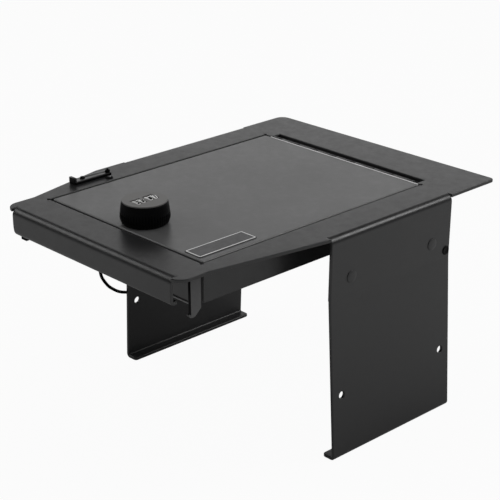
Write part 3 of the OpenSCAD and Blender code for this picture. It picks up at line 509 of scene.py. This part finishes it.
# the small foot under the apron's left end, painted black as the shade beneath the apron
rounded_box("apron_foot", (-0.0980, FRONT + 0.0035, TOP - APRON_DROP - 0.0032),
            (-0.0905, FRONT + 0.0070, TOP - APRON_DROP + 0.0015), 0.0006, "frame", "black_plastic")


# ---------------------------------------------------------------- skirt and tabs
def make_skirt():
    """Walls under the opening in one strip, open at its front right corner."""
    x0, x1 = LID_X - OPEN_HALF - T, LID_X + OPEN_HALF + T
    y0, y1 = SKIRT_FRONT, SKIRT_BACK
    end_x, end_y = x1 - 0.0065, y0 + 0.0025
    r, n = 0.004, 5
    outer = [(end_x, y0)] + arc(x0 + r, y0 + r, r, 270, 180, n) + arc(x0 + r, y1 - r, r, 180, 90, n)
    outer += arc(x1 - r, y1 - r, r, 90, 0, n) + [(x1, end_y)]
    inner = [(x1 - T, end_y), (x1 - T, y1 - T), (x0 + T, y1 - T), (x0 + T, OPEN_0), (end_x, OPEN_0)]
    bm = flat_sheet("skirt_walls", [outer + inner], SKIRT_DROP - T - SKIRT_SHORTER, EDGE, top=UNDER)
    ob = sheet_piece(bm, "skirt_walls", "frame", "frame_paint")
    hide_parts("skirt_front", "skirt_rear", "skirt_left", "skirt_right")


LIP_ENDS = (LID_X - OPEN_HALF, LID_X + OPEN_HALF - 0.0035)


def make_skirt_lip():
    """Face and bottom lip of the skirt's front wall, with a light strip on its lower edge that is a
    painted highlight.
    """
    # depth in front of the wall, height above the bottom
    flare = [
        (-0.0008, -0.0008), (0.0034, -0.0008), (0.0024, 0.0006), (0.0024, 0.0312), (-0.0008, 0.0312),
    ]
    bm = bmesh.new()
    left, right = [
        [bm.verts.new((x, SKIRT_FRONT - depth, TOP - SKIRT_DROP + height)) for depth, height in flare]
        for x in LIP_ENDS
    ]
    bridge(bm, left, right)
    bm.faces.new(left)
    bm.faces.new(right)
    new_object("skirt_lip", finish_mesh(bm, "skirt_lip"), "frame", "frame_paint")
    # light grey strip: the highlight on the lip's lower edge, painted
    rounded_box("skirt_lip_edge", (LIP_ENDS[0], SKIRT_FRONT - 0.0036, TOP - SKIRT_DROP - 0.0012),
                (LIP_ENDS[1], SKIRT_FRONT - 0.0016, TOP - SKIRT_DROP + 0.0004), 0.0005,
                "frame", "frame_paint", "worn_edge")


def make_tab(side):
    """Tab with its front edge painted dark as shade, and a small foot at its tip. The left one ends
    behind the apron.
    """
    y0, y1 = FRONT + 0.0175, FRONT + 0.0280
    low = TOP - TAB_DROP + (0.0 if side > 0 else LEFT_TAB_SHORTER)
    pts = [(y0, UNDER), (y0, low), (y0 + 0.004, low), (y1, low + 0.006), (y1, UNDER)]
    bm = flat_sheet("tab", [pts], T, 0.0005)
    for v in bm.verts:
        y, z, t = v.co
        v.co = (LID_X + side * (0.1086 + t), y, z)
    name = "hook_tab_right" if side > 0 else "hook_tab_left"
    # the tab's face gets a lighter copy of the frame's paint, which paints the light on it
    ob = sheet_piece(bm, name, "frame", "frame_paint", "tab_paint")
    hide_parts("right_hook_tab" if side > 0 else "left_hook_tab")
    x0, x1 = sorted((LID_X + side * 0.1028, LID_X + side * 0.1066))
    rounded_box(name + "_foot", (x0, y0, low), (x1, y0 + 0.004, low + 0.002), 0.0006,
                "frame", "frame_paint")
    # black strip in front of the tab: painted shade on its front edge
    x0, x1 = sorted((LID_X + side * 0.1055, LID_X + side * 0.1083))
    rounded_box(name + "_edge", (x0, y0 - 0.0003, low + 0.0024), (x1, y0 + 0.0010, UNDER), 0.0003,
                "frame", "black_plastic")


make_skirt()
make_skirt_lip()
make_tab(-1)
make_tab(1)


# ---------------------------------------------------------------- rivets and plugs
def lathe(profile, n=40):
    """Closed solid of revolution about Z from (radius, height) points. The first and last are on Z."""
    bm = bmesh.new()
    rows = [circle(bm, r, z, n) if r else [bm.verts.new((0, 0, z))] for r, z in profile]
    for a, b in zip(rows, rows[1:]):
        bridge(bm, a, b)
    return bm


def out_of_leg(side, y, z):
    """Place on the outer face of an upper leg, with Z pointing out of it."""
    x = KNEE_X + (HALF - KNEE_X) * (z - KNEE_Z) / UPPER_LEG
    place = Matrix.Translation((x, y, z)) @ Matrix.Rotation(math.pi / 2 + LEAN, 4, "Y")
    return Matrix.Scale(-1, 4, (1, 0, 0)) @ place if side < 0 else place


def turned_piece(parts, name, slot):
    ob = new_object(name, finish_mesh(joined(parts), name), "frame", slot)
    smooth(ob, 40)
    return ob


def dome(r, h, edge=0.35, n=6):
    """Profile of a low domed head from its centre to its foot."""
    pts = [(0, h)]
    for i in range(1, n):
        a = math.radians(90 * i / n)
        pts.append((r * math.sin(a), h * (edge + (1 - edge) * math.cos(a))))
    return pts + [(r, h * edge * 0.6), (r, 0)]


def make_rivets():
    shank = [(0.0024, 0), (0.0024, -0.0046), (0.0036, -0.0046), (0.0034, -0.0053), (0, -0.0054)]
    parts = [(lathe(dome(0.0055, 0.001) + shank), out_of_leg(side, y, RIVET_Z))
             for side in (-1, 1) for y in (LEG_MID - RIVET_HALF, LEG_MID + RIVET_HALF)]
    ob = turned_piece(parts, "rivet_heads", "frame_paint")
    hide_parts("leg_rivets")


def make_plugs():
    profile = [
        (0, 0.0005), (0.0024, 0.0005), (0.0028, 0.0008), (0.0037, 0.0008), (0.0041, 0.0005),
        (0.0042, 0.0001), (0.0042, 0), (0.0029, 0), (0.0029, -0.0046), (0.0041, -0.0046),
        (0.0040, -0.0053), (0, -0.0053),
    ]
    parts = [(lathe(profile), out_of_leg(side, PLUG_Y, PLUG_Z)) for side in (-1, 1)]
    ob = turned_piece(parts, "leg_plugs", "black_rubber")
    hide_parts("rubber_plugs")


make_rivets()
make_plugs()


# ---------------------------------------------------------------- lid and label
def make_lid():
    """Sheet with a rim on three sides: a thick slab, cut off below and hollowed out."""
    x0, x1, y0, y1 = LID_X - LID_HALF, LID_X + LID_HALF, LID_FRONT, LID_BACK
    low, wall = 0.1, 0.002
    bm = flat_sheet("lid_cover", [round_corners(x0, y0, x1, y1, 0.0014)], 0.016, 0.0011, 4, TOP)
    ob = new_object("lid_cover", finish_mesh(bm, "lid_cover"), "lid", "lid_paint")
    cut_away(ob, box_mesh((-0.2, -0.2, low), (0.2, 0.2, TOP - 0.009)))
    cut_away(ob, box_mesh((x0 + wall, y0 + wall, low), (x1 - wall, y1 + 0.01, UNDER)))
    smooth_flats(ob)
    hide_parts("lid_panel")


def make_label():
    """Bare film with a border line."""
    w, l = 0.0194, 0.0625
    x1, y0 = LID_X + LID_HALF - 0.007, OPEN_0 + 0.002 + 0.0043

    def outline(inset, r):
        return round_corners(x1 - w + inset, y0 + inset, x1 - inset, y0 + l - inset, r, 5)

    bm = flat_sheet("label", [outline(0, 0.002)], 0.0005, 0.00015, top=TOP + 0.0005)
    ob = new_object("bare_label", finish_mesh(bm, "bare_label"), "lid", "label_film")
    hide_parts("label_plate")
    line = [outline(0.0008, 0.0014), outline(0.0018, 0.0008)]
    bm = flat_sheet("border", line, 0.00012, 0.00002, top=TOP + 0.00058)
    new_object("label_border", finish_mesh(bm, "label_border"), "lid", "label_film", "border_paint")


make_lid()
# white strip where the hinge's leaf shows between the lid and the barrel, a painted highlight of that
# edge
rounded_box("hinge_edge_painted_highlight", (-0.0913, LID_BACK - 0.0010, TOP - 0.0016),
            (LID_X + LID_HALF - 0.0006, LID_BACK + 0.0004, TOP + 0.0003), 0.0002,
            "lid", "zinc_steel", "border_paint", 2)
make_label()


# ---------------------------------------------------------------- small pieces with broken edges
def refined(node, body, slot, width, look=None):
    """Copy of a plain solid with its edges broken, which stands in for it."""
    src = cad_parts[node]
    bm = bmesh.new()
    bm.from_mesh(src.data)
    bm.transform(src.matrix_world)
    bmesh.ops.remove_doubles(bm, verts=bm.verts, dist=2e-6)
    bmesh.ops.dissolve_limit(bm, angle_limit=math.radians(0.6), verts=bm.verts, edges=bm.edges)
    sharp = [e for e in bm.edges if e.is_manifold and math.degrees(e.calc_face_angle(0)) > 40]
    bmesh.ops.bevel(bm, geom=sharp, offset=width, segments=2, affect="EDGES", profile=0.5,
                    clamp_overlap=True)
    ob = new_object(node + "_piece", finish_mesh(bm, node + "_piece"), body, slot, look)
    smooth(ob, 32)
    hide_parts(node)


for name in ("left_doubler", "right_doubler", "frame_hinge_leaf", "left_lid_rest", "right_lid_rest"):
    refined(name, "frame", "frame_paint", 0.0003)
# the rim's bracket, with black strips that paint the shade on its right side and on its upturned end
refined("rim_bracket", "frame", "black_plastic", 0.0005, "frame_paint")
rounded_box("rim_bracket_shaded_side", (-0.1132, -0.1026, TOP + 0.0001), (-0.1125, -0.0625, TOP + 0.0020),
            0.0002, "frame", "black_plastic")
rounded_box("rim_bracket_shaded_end", (-0.1208, -0.1034, TOP + 0.0003), (-0.1127, -0.1027, TOP + 0.0056),
            0.0002, "frame", "black_plastic")
for name, slot, width in (
    ("strike_plate", "zinc_steel", 0.0003), ("strike_screws", "zinc_steel", 0.0002),
    ("lid_bumpers", "black_rubber", 0.0003), ("hinge_pin", "zinc_steel", 0.0002),
    ("contact_post", "black_plastic", 0.0003), ("rim_grommet", "black_rubber", 0.0002),
    ("skirt_grommet", "black_rubber", 0.0002), ("cable_terminal", "zinc_steel", 0.0002),
    ("bracket_screw", "black_plastic", 0.0002),
):
    refined(name, "frame", slot, width)
refined("lid_hinge_leaf", "lid", "lid_paint", 0.0003)
for name in ("lock_barrel", "lock_washer", "lock_nut"):
    refined(name, "lid", "zinc_steel", 0.0003)
for name in ("wheel_axle", "spindle", "latch_arm", "arm_screw"):
    refined(name, "knob", "zinc_steel", 0.0003)

# ---------------------------------------------------------------- knob
ROW = math.radians(3)                               # the row of wheels is turned by this against Y
WHEELS = (-0.0096, -0.0041, 0.0041, 0.0096)         # places of the wheels along the row
FACE_Z = TOP + 0.020
GROOVES, GROOVE_DEPTH, GROOVE_SHARE = 52, 0.0007, 0.54
GROOVE_LOW, GROOVE_HIGH = 0.0012, 0.0100            # the heights between which the grip is grooved


def in_row(y, z=0.0):
    """Place of something along the row of wheels, on the knob's axis when y is 0."""
    axis = Matrix.Translation((KNOB[0], KNOB[1], z))
    return axis @ Matrix.Rotation(ROW, 4, "Z") @ Matrix.Translation((0, y, 0))


def groove(a):
    """Share of the full depth that the grip is cut at an angle: half a circle in each groove."""
    s = abs((a * GROOVES / (2 * math.pi)) % 1.0 - 0.5) * 2
    return max(0.0, 1 - (s / GROOVE_SHARE) ** 2) ** 0.5 if s < GROOVE_SHARE else 0.0


def make_knob():
    rows = [
        (0.0190, 0.0006), (0.0197, 0.0008), (0.0200, 0.0012), (0.0207, 0.0030), (0.0212, 0.0047),
        (0.0213, 0.0058), (0.0212, 0.0072), (0.0211, 0.0088), (0.0210, 0.0096), (0.0209, 0.0100),
        (0.0206, 0.0128), (0.0200, 0.0168), (0.0197, 0.0181), (0.01955, 0.0185), (0.0192, 0.0187),
        (0.0188, 0.0188),
    ]
    n = GROOVES * 10
    bm = bmesh.new()
    loops = []
    for r, z in rows:
        ease = max(0.0, min(1.0, (z - GROOVE_LOW) / 0.0012, (GROOVE_HIGH - z) / 0.0008))
        loop = []
        for i in range(n):
            a = 2 * math.pi * i / n
            cut = GROOVE_DEPTH * ease * groove(a)
            loop.append(bm.verts.new(((r - cut) * math.cos(a), (r - cut) * math.sin(a), z)))
        loops.append(loop)
    for a, b in zip(loops, loops[1:]):
        bridge(bm, a, b)
    bm.faces.new(loops[-1])
    # recess under the knob for the flange of the lock
    inner = [circle(bm, 0.0165, z, n) for z in (0.0006, 0.0025)]
    bridge(bm, loops[0], inner[0])
    bridge(bm, inner[0], inner[1])
    bm.faces.new(inner[1])
    bm.transform(Matrix.Translation((*KNOB, TOP)))
    ob = new_object("knob_grip", finish_mesh(bm, "knob_grip"), "knob", "black_plastic")
    # pocket for the wheels
    pocket = box_mesh((-0.0082, -0.0121, TOP + 0.005), (0.0082, 0.0121, TOP + 0.021))
    pocket.transform(in_row(0))
    cut_away(ob, pocket)
    smooth(ob, 42)
    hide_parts("knob_body")


def make_face():
    """Disc with a window for each wheel."""
    w, h = 0.0112, 0.0046
    outlines = [ring(0, 0, 0.0192, 96)]
    outlines += [round_corners(-w / 2, y - h / 2, w / 2, y + h / 2, 0.0004) for y in WHEELS]
    bm = flat_sheet("face", outlines, 0.0012, 0.0003)
    bm.transform(in_row(0, FACE_Z))
    ob = sheet_piece(bm, "knob_disc", "knob", "knob_disc")
    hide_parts("knob_face")


make_knob()
make_face()

# ---------------------------------------------------------------- number wheels
AXLE_Z = TOP + 0.0132
WHEEL_R, WHEEL_W = 0.0076, 0.0038
NOTCH = 0.00035
DIGIT_H, DIGIT_RELIEF, DIGIT_BOLD = 0.0033, 0.00012, 0.00034
DIGIT_SHARE = 0.7                                   # of the font's size, that a digit is high


def digit_mesh(char):
    """A raised digit, sliced across so that it can be bent round the wheel."""
    data = bpy.data.curves.new("digit", "FONT")
    data.body = char
    data.size = DIGIT_H / DIGIT_SHARE
    data.align_x = "CENTER"
    data.align_y = "CENTER"
    data.extrude = DIGIT_RELIEF
    data.offset = DIGIT_BOLD
    data.resolution_u = 3
    bm = as_bmesh(curve_mesh(data))
    slice_all(bm, [((0, i * 0.0005, 0), (0, 1, 0)) for i in range(-3, 4)], 1e-7)
    return bm


def drum_mesh():
    """Short cylinder about Y with a bore for the axle and ten notches in its rim, painted bright to
    stand in for its reflections.
    """
    r, t = WHEEL_R, WHEEL_W / 2
    side = [(0.0013, t), (r - 0.0006, t), (r - 0.0002, t - 0.0002), (r, t - 0.0006)]
    rim = [(r, -t) for r, t in side] + side[::-1]
    n = 100
    bm = bmesh.new()
    loops = []
    for r, t in rim:
        loop = []
        for i in range(n):
            a = 2 * math.pi * i / n
            notch = NOTCH * max(0.0, math.cos(10 * a)) ** 6 if r > WHEEL_R / 2 else 0.0
            loop.append(bm.verts.new(((r - notch) * math.sin(a), t, (r - notch) * math.cos(a))))
        loops.append(loop)
    for a, b in zip(loops, loops[1:] + loops[:1]):
        bridge(bm, a, b)
    return bm


def make_wheel(number, y):
    """A drum, and dark numbers that stand round it between the notches."""
    place = in_row(y, AXLE_Z)
    bm = drum_mesh()
    bm.transform(place)
    name = "wheel_%d_drum" % number
    # the drum's near white stands in for the bright reflections of metal wheels
    ob = new_object(name, finish_mesh(bm, name), "wheel_%d" % number, "wheel_plastic", "wheel_shell")
    smooth(ob, 38)
    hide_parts("number_wheel_%d" % number)
    digits = []
    for d in range(10):
        digit = digit_mesh(str((d + number * 3) % 10))
        for v in digit.verts:
            # the number reads along the row, its height lies round the drum
            u, w, h = v.co
            a = w / WHEEL_R + math.radians(36 * d + 18)
            v.co = ((WHEEL_R + h) * math.sin(-a), u, (WHEEL_R + h) * math.cos(-a))
        digits.append((digit, place))
    name = "wheel_%d_numbers" % number
    new_object(name, finish_mesh(joined(digits), "numbers"), "wheel_%d" % number, "wheel_plastic")


for i, y in enumerate(WHEELS):
    make_wheel(i + 1, y)


# ---------------------------------------------------------------- node trees
class Graph:
    """Short ways to add and link the nodes of one node tree."""

    def __init__(self, tree):
        self.tree = tree

    def feed(self, socket, value):
        """Sets an input to a number or a colour, or links it to an output."""
        if isinstance(value, bpy.types.NodeSocket):
            self.tree.links.new(value, socket)
        else:
            socket.default_value = (*value, 1) if socket.type == "RGBA" else value

    def add(self, kind, inputs=None, **settings):
        node = self.tree.nodes.new(kind)
        for key, value in settings.items():
            setattr(node, key, value)
        for key, value in (inputs or {}).items():
            self.feed(node.inputs[key], value)
        return node

    def calc(self, operation, a, b):
        return self.add("ShaderNodeMath", {0: a, 1: b}, operation=operation).outputs[0]

    def vector(self, operation, a, b=(0, 0, 0)):
        return self.add("ShaderNodeVectorMath", {0: a, 1: b}, operation=operation).outputs

    def map(self, value, from_0, from_1, to_0, to_1):
        """The value, stretched from one range to another and kept inside it."""
        ranges = {0: value, 1: from_0, 2: from_1, 3: to_0, 4: to_1}
        return self.add("ShaderNodeMapRange", ranges).outputs[0]

    def ramp(self, fac, stops):
        """Colours by position. A plain number is a grey."""
        node = self.add("ShaderNodeValToRGB", {"Fac": fac})
        elements = node.color_ramp.elements
        elements[0].position, elements[1].position = stops[0][0], stops[-1][0]
        for position, _ in stops[1:-1]:
            elements.new(position)
        for element, (_, colour) in zip(elements, stops):
            element.color = (*colour, 1) if isinstance(colour, tuple) else (colour, colour, colour, 1)
        return node.outputs["Color"]

    def mix(self, fac, a, b):
        """Colour a where fac is 0, and colour b where it is 1."""
        return self.add("ShaderNodeMix", {0: fac, 6: a, 7: b}, data_type="RGBA").outputs[2]

    def ray_kinds(self):
        """1 for rays from the camera, and 1 for mirrored and transmitted ones."""
        path = self.add("ShaderNodeLightPath").outputs
        mirrored = self.calc("MAXIMUM", path["Is Glossy Ray"], path["Is Transmission Ray"])
        return path["Is Camera Ray"], mirrored


class Material(Graph):
    """A new material, patterned by the piece's own coordinates."""

    def __init__(self, name):
        self.mat = bpy.data.materials.new(name)
        self.mat.use_nodes = True
        super().__init__(self.mat.node_tree)
        self.shader = self.tree.nodes["Principled BSDF"]
        self.place = self.add("ShaderNodeTexCoord").outputs["Object"]

    def to(self, name, value):
        self.feed(self.shader.inputs[name], value)

    def noise(self, scale, detail, rough=0.5):
        inputs = {"Vector": self.place, "Scale": scale, "Detail": detail, "Roughness": rough}
        return self.add("ShaderNodeTexNoise", inputs).outputs["Fac"]

    def bump(self, layers, strength):
        """Layers of (height, distance in metres) on the shader's normal."""
        inputs = {}
        for height, distance in layers:
            inputs.update({"Strength": strength, "Distance": distance, "Height": height})
            inputs["Normal"] = self.add("ShaderNodeBump", inputs).outputs["Normal"]
        self.to("Normal", inputs["Normal"])

    def edge(self, radius):
        """1 on the rounded edges, 0 on flat faces."""
        bevel = self.add("ShaderNodeBevel", {"Radius": radius}, samples=4).outputs["Normal"]
        flat = self.add("ShaderNodeNewGeometry").outputs["Normal"]
        return self.map(self.vector("DOT_PRODUCT", bevel, flat)["Value"], 1.0, 0.92, 0.0, 1.0)


# ---------------------------------------------------------------- materials
def times(colour, factor):
    return tuple(c * factor for c in colour)


def paint(name, base, rough, edge_highlight_gain, gloss):
    """Powder coat with a fine texture and edges painted lighter as highlights."""
    m = Material(name)
    mid = m.noise(160, 3, 0.6)
    tone = m.ramp(m.noise(9, 3), [(0.35, times(base, 0.86)), (0.65, times(base, 1.12))])
    tone = m.mix(m.map(mid, 0.45, 0.75, 0.0, 0.35), tone, times(base, 1.35))
    # the rounded edges are painted lighter, as highlights
    m.to("Base Color", m.mix(m.edge(0.0006), tone, times(base, edge_highlight_gain)))
    m.to("Roughness", m.map(mid, 0.3, 0.7, rough - 0.04, rough + 0.05))
    m.bump([(m.noise(1500, 2), 0.00005), (m.noise(5200, 2, 0.6), 0.000012)], 0.5)
    m.to("Specular IOR Level", gloss)
    return m.mat


def steel(name, base, rough):
    m = Material(name)
    fine = m.noise(900, 3, 0.6)
    tone = m.ramp(m.noise(60, 3), [(0.3, times(base, 0.85)), (0.7, base)])
    m.to("Base Color", m.mix(m.map(fine, 0.5, 0.8, 0.0, 0.4), tone, times(base, 0.6)))
    m.to("Roughness", m.map(fine, 0.3, 0.7, rough - 0.06, rough + 0.1))
    m.bump([(fine, 0.00002)], 0.4)
    m.to("Metallic", 1.0)
    return m.mat


def plastic(name, base, rough, grain, edge_highlight_gain, gloss):
    m = Material(name)
    tone = m.ramp(m.noise(80, 2), [(0.3, times(base, 0.85)), (0.7, times(base, 1.15))])
    # the rounded edges are painted lighter, as highlights
    m.to("Base Color", m.mix(m.edge(0.0003), tone, times(base, edge_highlight_gain)))
    m.to("Roughness", m.map(m.noise(300, 3), 0.3, 0.7, rough - 0.05, rough + 0.06))
    m.bump([(m.noise(2600, 2, 0.6), grain)], 0.5)
    m.to("Specular IOR Level", gloss)
    return m.mat


def brushed_face(name):
    """Grey face with fine marks round its centre."""
    m = Material(name)
    flat = m.vector("MULTIPLY", m.vector("SUBTRACT", m.place, (*KNOB, 0))[0], (1, 1, 0))[0]
    inputs = {"W": m.vector("LENGTH", flat)["Value"], "Scale": 9000, "Detail": 2}
    marks = m.add("ShaderNodeTexNoise", inputs, noise_dimensions="1D").outputs["Fac"]
    tone = m.ramp(marks, [(0.3, (0.120, 0.1175, 0.115)), (0.7, (0.170, 0.166, 0.163))])
    m.to("Base Color", m.mix(m.map(m.noise(120, 2), 0.4, 0.7, 0.0, 0.5), tone, (0.14, 0.137, 0.134)))
    m.to("Roughness", m.map(marks, 0.3, 0.7, 0.38, 0.5))
    m.bump([(marks, 0.000006)], 0.5)
    return m.mat


def label_film(name):
    m = Material(name)
    tone = m.ramp(m.noise(130, 3), [(0.3, (0.060, 0.060, 0.062)), (0.7, (0.082, 0.082, 0.084))])
    m.to("Base Color", m.mix(m.map(m.noise(900, 2), 0.5, 0.8, 0.0, 0.25), tone, (0.10, 0.10, 0.10)))
    m.to("Roughness", m.map(m.noise(300, 3), 0.3, 0.7, 0.36, 0.46))
    m.bump([(m.noise(2200, 2), 0.000008)], 0.4)
    return m.mat


PAINTS = {name: make(name, *values) for name, make, *values in (
    # base colour, roughness, how much lighter the edges are painted as highlights, gloss
    ("frame_paint", paint, (0.0145, 0.0145, 0.015), 0.34, 2.4, 0.76),
    # light grey that paints the highlight on the skirt's lip
    ("worn_edge", paint, (0.26, 0.26, 0.26), 0.4, 1.2, 0.4),
    # lighter copy of the frame's paint, painting light onto the tabs' faces
    ("tab_paint", paint, (0.110, 0.110, 0.1105), 0.36, 1.6, 0.46),
    ("lid_paint", paint, (0.090, 0.090, 0.0905), 0.36, 1.8, 1.0),
    ("zinc_steel", steel, (0.55, 0.55, 0.56), 0.3),
    # base colour, roughness, depth of the grain, how much lighter the edges are painted as highlights,
    # gloss
    ("black_plastic", plastic, (0.004, 0.004, 0.0044), 0.34, 0.00001, 1.8, 0.05),
    ("wheel_plastic", plastic, (0.006, 0.006, 0.006), 0.45, 0.00001, 1.4, 0.12),
    ("black_rubber", plastic, (0.008, 0.008, 0.008), 0.62, 0.00003, 1.4, 0.15),
    ("cable_jacket", plastic, (0.002, 0.002, 0.002), 0.55, 0.00001, 1.2, 0.02),
    # near white that paints the bright reflections of the wheels' drums
    ("wheel_shell", plastic, (0.92, 0.92, 0.91), 0.3, 0.000005, 1.0, 0.6),
    # white of the label's printed border, also used for the painted highlight on the hinge strip
    ("border_paint", plastic, (0.80, 0.80, 0.80), 0.45, 0.000005, 1.0, 0.3),
    ("knob_disc", brushed_face),
    ("label_film", label_film),
)}
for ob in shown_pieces():
    ob.data.materials.clear()
    ob.data.materials.append(PAINTS[ob["look"]])


# ---------------------------------------------------------------- floor, backdrop and lamps
def make_world():
    """White all round for the camera. Mirrored rays see a white backdrop behind the object, which fades
    towards its top and its sides into a dark ceiling and dark walls. Other rays see an even grey."""
    world = bpy.data.worlds.new("world")
    scene.world = world
    world.use_nodes = True
    world.node_tree.nodes.clear()
    g = Graph(world.node_tree)
    camera, mirrored = g.ray_kinds()
    behind, even_grey = (-0.5, 0.866, 0), 0.32
    way = g.add("ShaderNodeTexCoord").outputs["Generated"]
    up = g.add("ShaderNodeSeparateXYZ", {0: way}).outputs["Z"]
    by_height = g.ramp(up, ((0.29, 1.0), (0.44, 0.42), (0.60, 0.08)))
    by_side = g.map(g.vector("DOT_PRODUCT", way, behind)["Value"], 0.60, 0.93, 0.10, 1.0)
    backdrop = g.calc("MULTIPLY", by_height, by_side)
    lit = g.add("ShaderNodeMix", {0: mirrored, 2: even_grey, 3: backdrop}).outputs[0]
    inputs = {"Color": (1, 1, 1), "Strength": g.calc("MAXIMUM", camera, lit)}
    white = g.add("ShaderNodeBackground", inputs).outputs[0]
    g.add("ShaderNodeOutputWorld", {"Surface": white})


def make_floor():
    """Nearly white for the camera. In mirrors it is dark in the object's shade and lighter all round."""
    mesh = bpy.data.meshes.new("floor")
    half = 6.0
    corners = [(-half, -half, 0), (half, -half, 0), (half, half, 0), (-half, half, 0)]
    mesh.from_pydata(corners, [], [(0, 1, 2, 3)])
    ob = linked("floor", mesh)
    ob.location.z = -0.0003
    mat = bpy.data.materials.new("floor")
    mat.use_nodes = True
    mat.node_tree.nodes.clear()
    g = Graph(mat.node_tree)
    camera, mirrored = g.ray_kinds()
    away = g.vector("LENGTH", g.add("ShaderNodeTexCoord").outputs["Object"])["Value"]
    shade = g.map(away, 0.16, 0.42, 0.03, 0.22)
    glow = g.calc("MAXIMUM", g.calc("MULTIPLY", camera, 0.955), g.calc("MULTIPLY", mirrored, shade))
    grey = g.add("ShaderNodeBsdfDiffuse", {"Color": (0.5, 0.5, 0.5)}).outputs[0]
    white = g.add("ShaderNodeEmission", {"Strength": 1.0}).outputs[0]
    mix = g.add("ShaderNodeMixShader", {0: glow, 1: grey, 2: white}).outputs[0]
    g.add("ShaderNodeOutputMaterial", {"Surface": mix})
    mesh.materials.append(mat)


def lamp(name, place, target, size, watts):
    data = bpy.data.lights.new(name, "AREA")
    data.shape = "RECTANGLE"
    data.size, data.size_y = size
    data.energy = watts
    ob = linked(name, data)
    ob.location = place
    ob.rotation_euler = (Vector(target) - Vector(place)).to_track_quat("-Z", "Y").to_euler()


make_world()
make_floor()
lamp("above", (0.1, 0.0, 1.7), (0, 0, 0.15), (1.4, 1.4), 4)
lamp("front_left", (-1.61, -0.75, 1.42), (0, -0.15, 0.19), (1.1, 1.0), 5.5)
lamp("back_right", (1.00, 1.46, 1.60), (0.1, 0.05, 0.19), (0.9, 0.9), 12)

scene.view_settings.view_transform = "Standard"
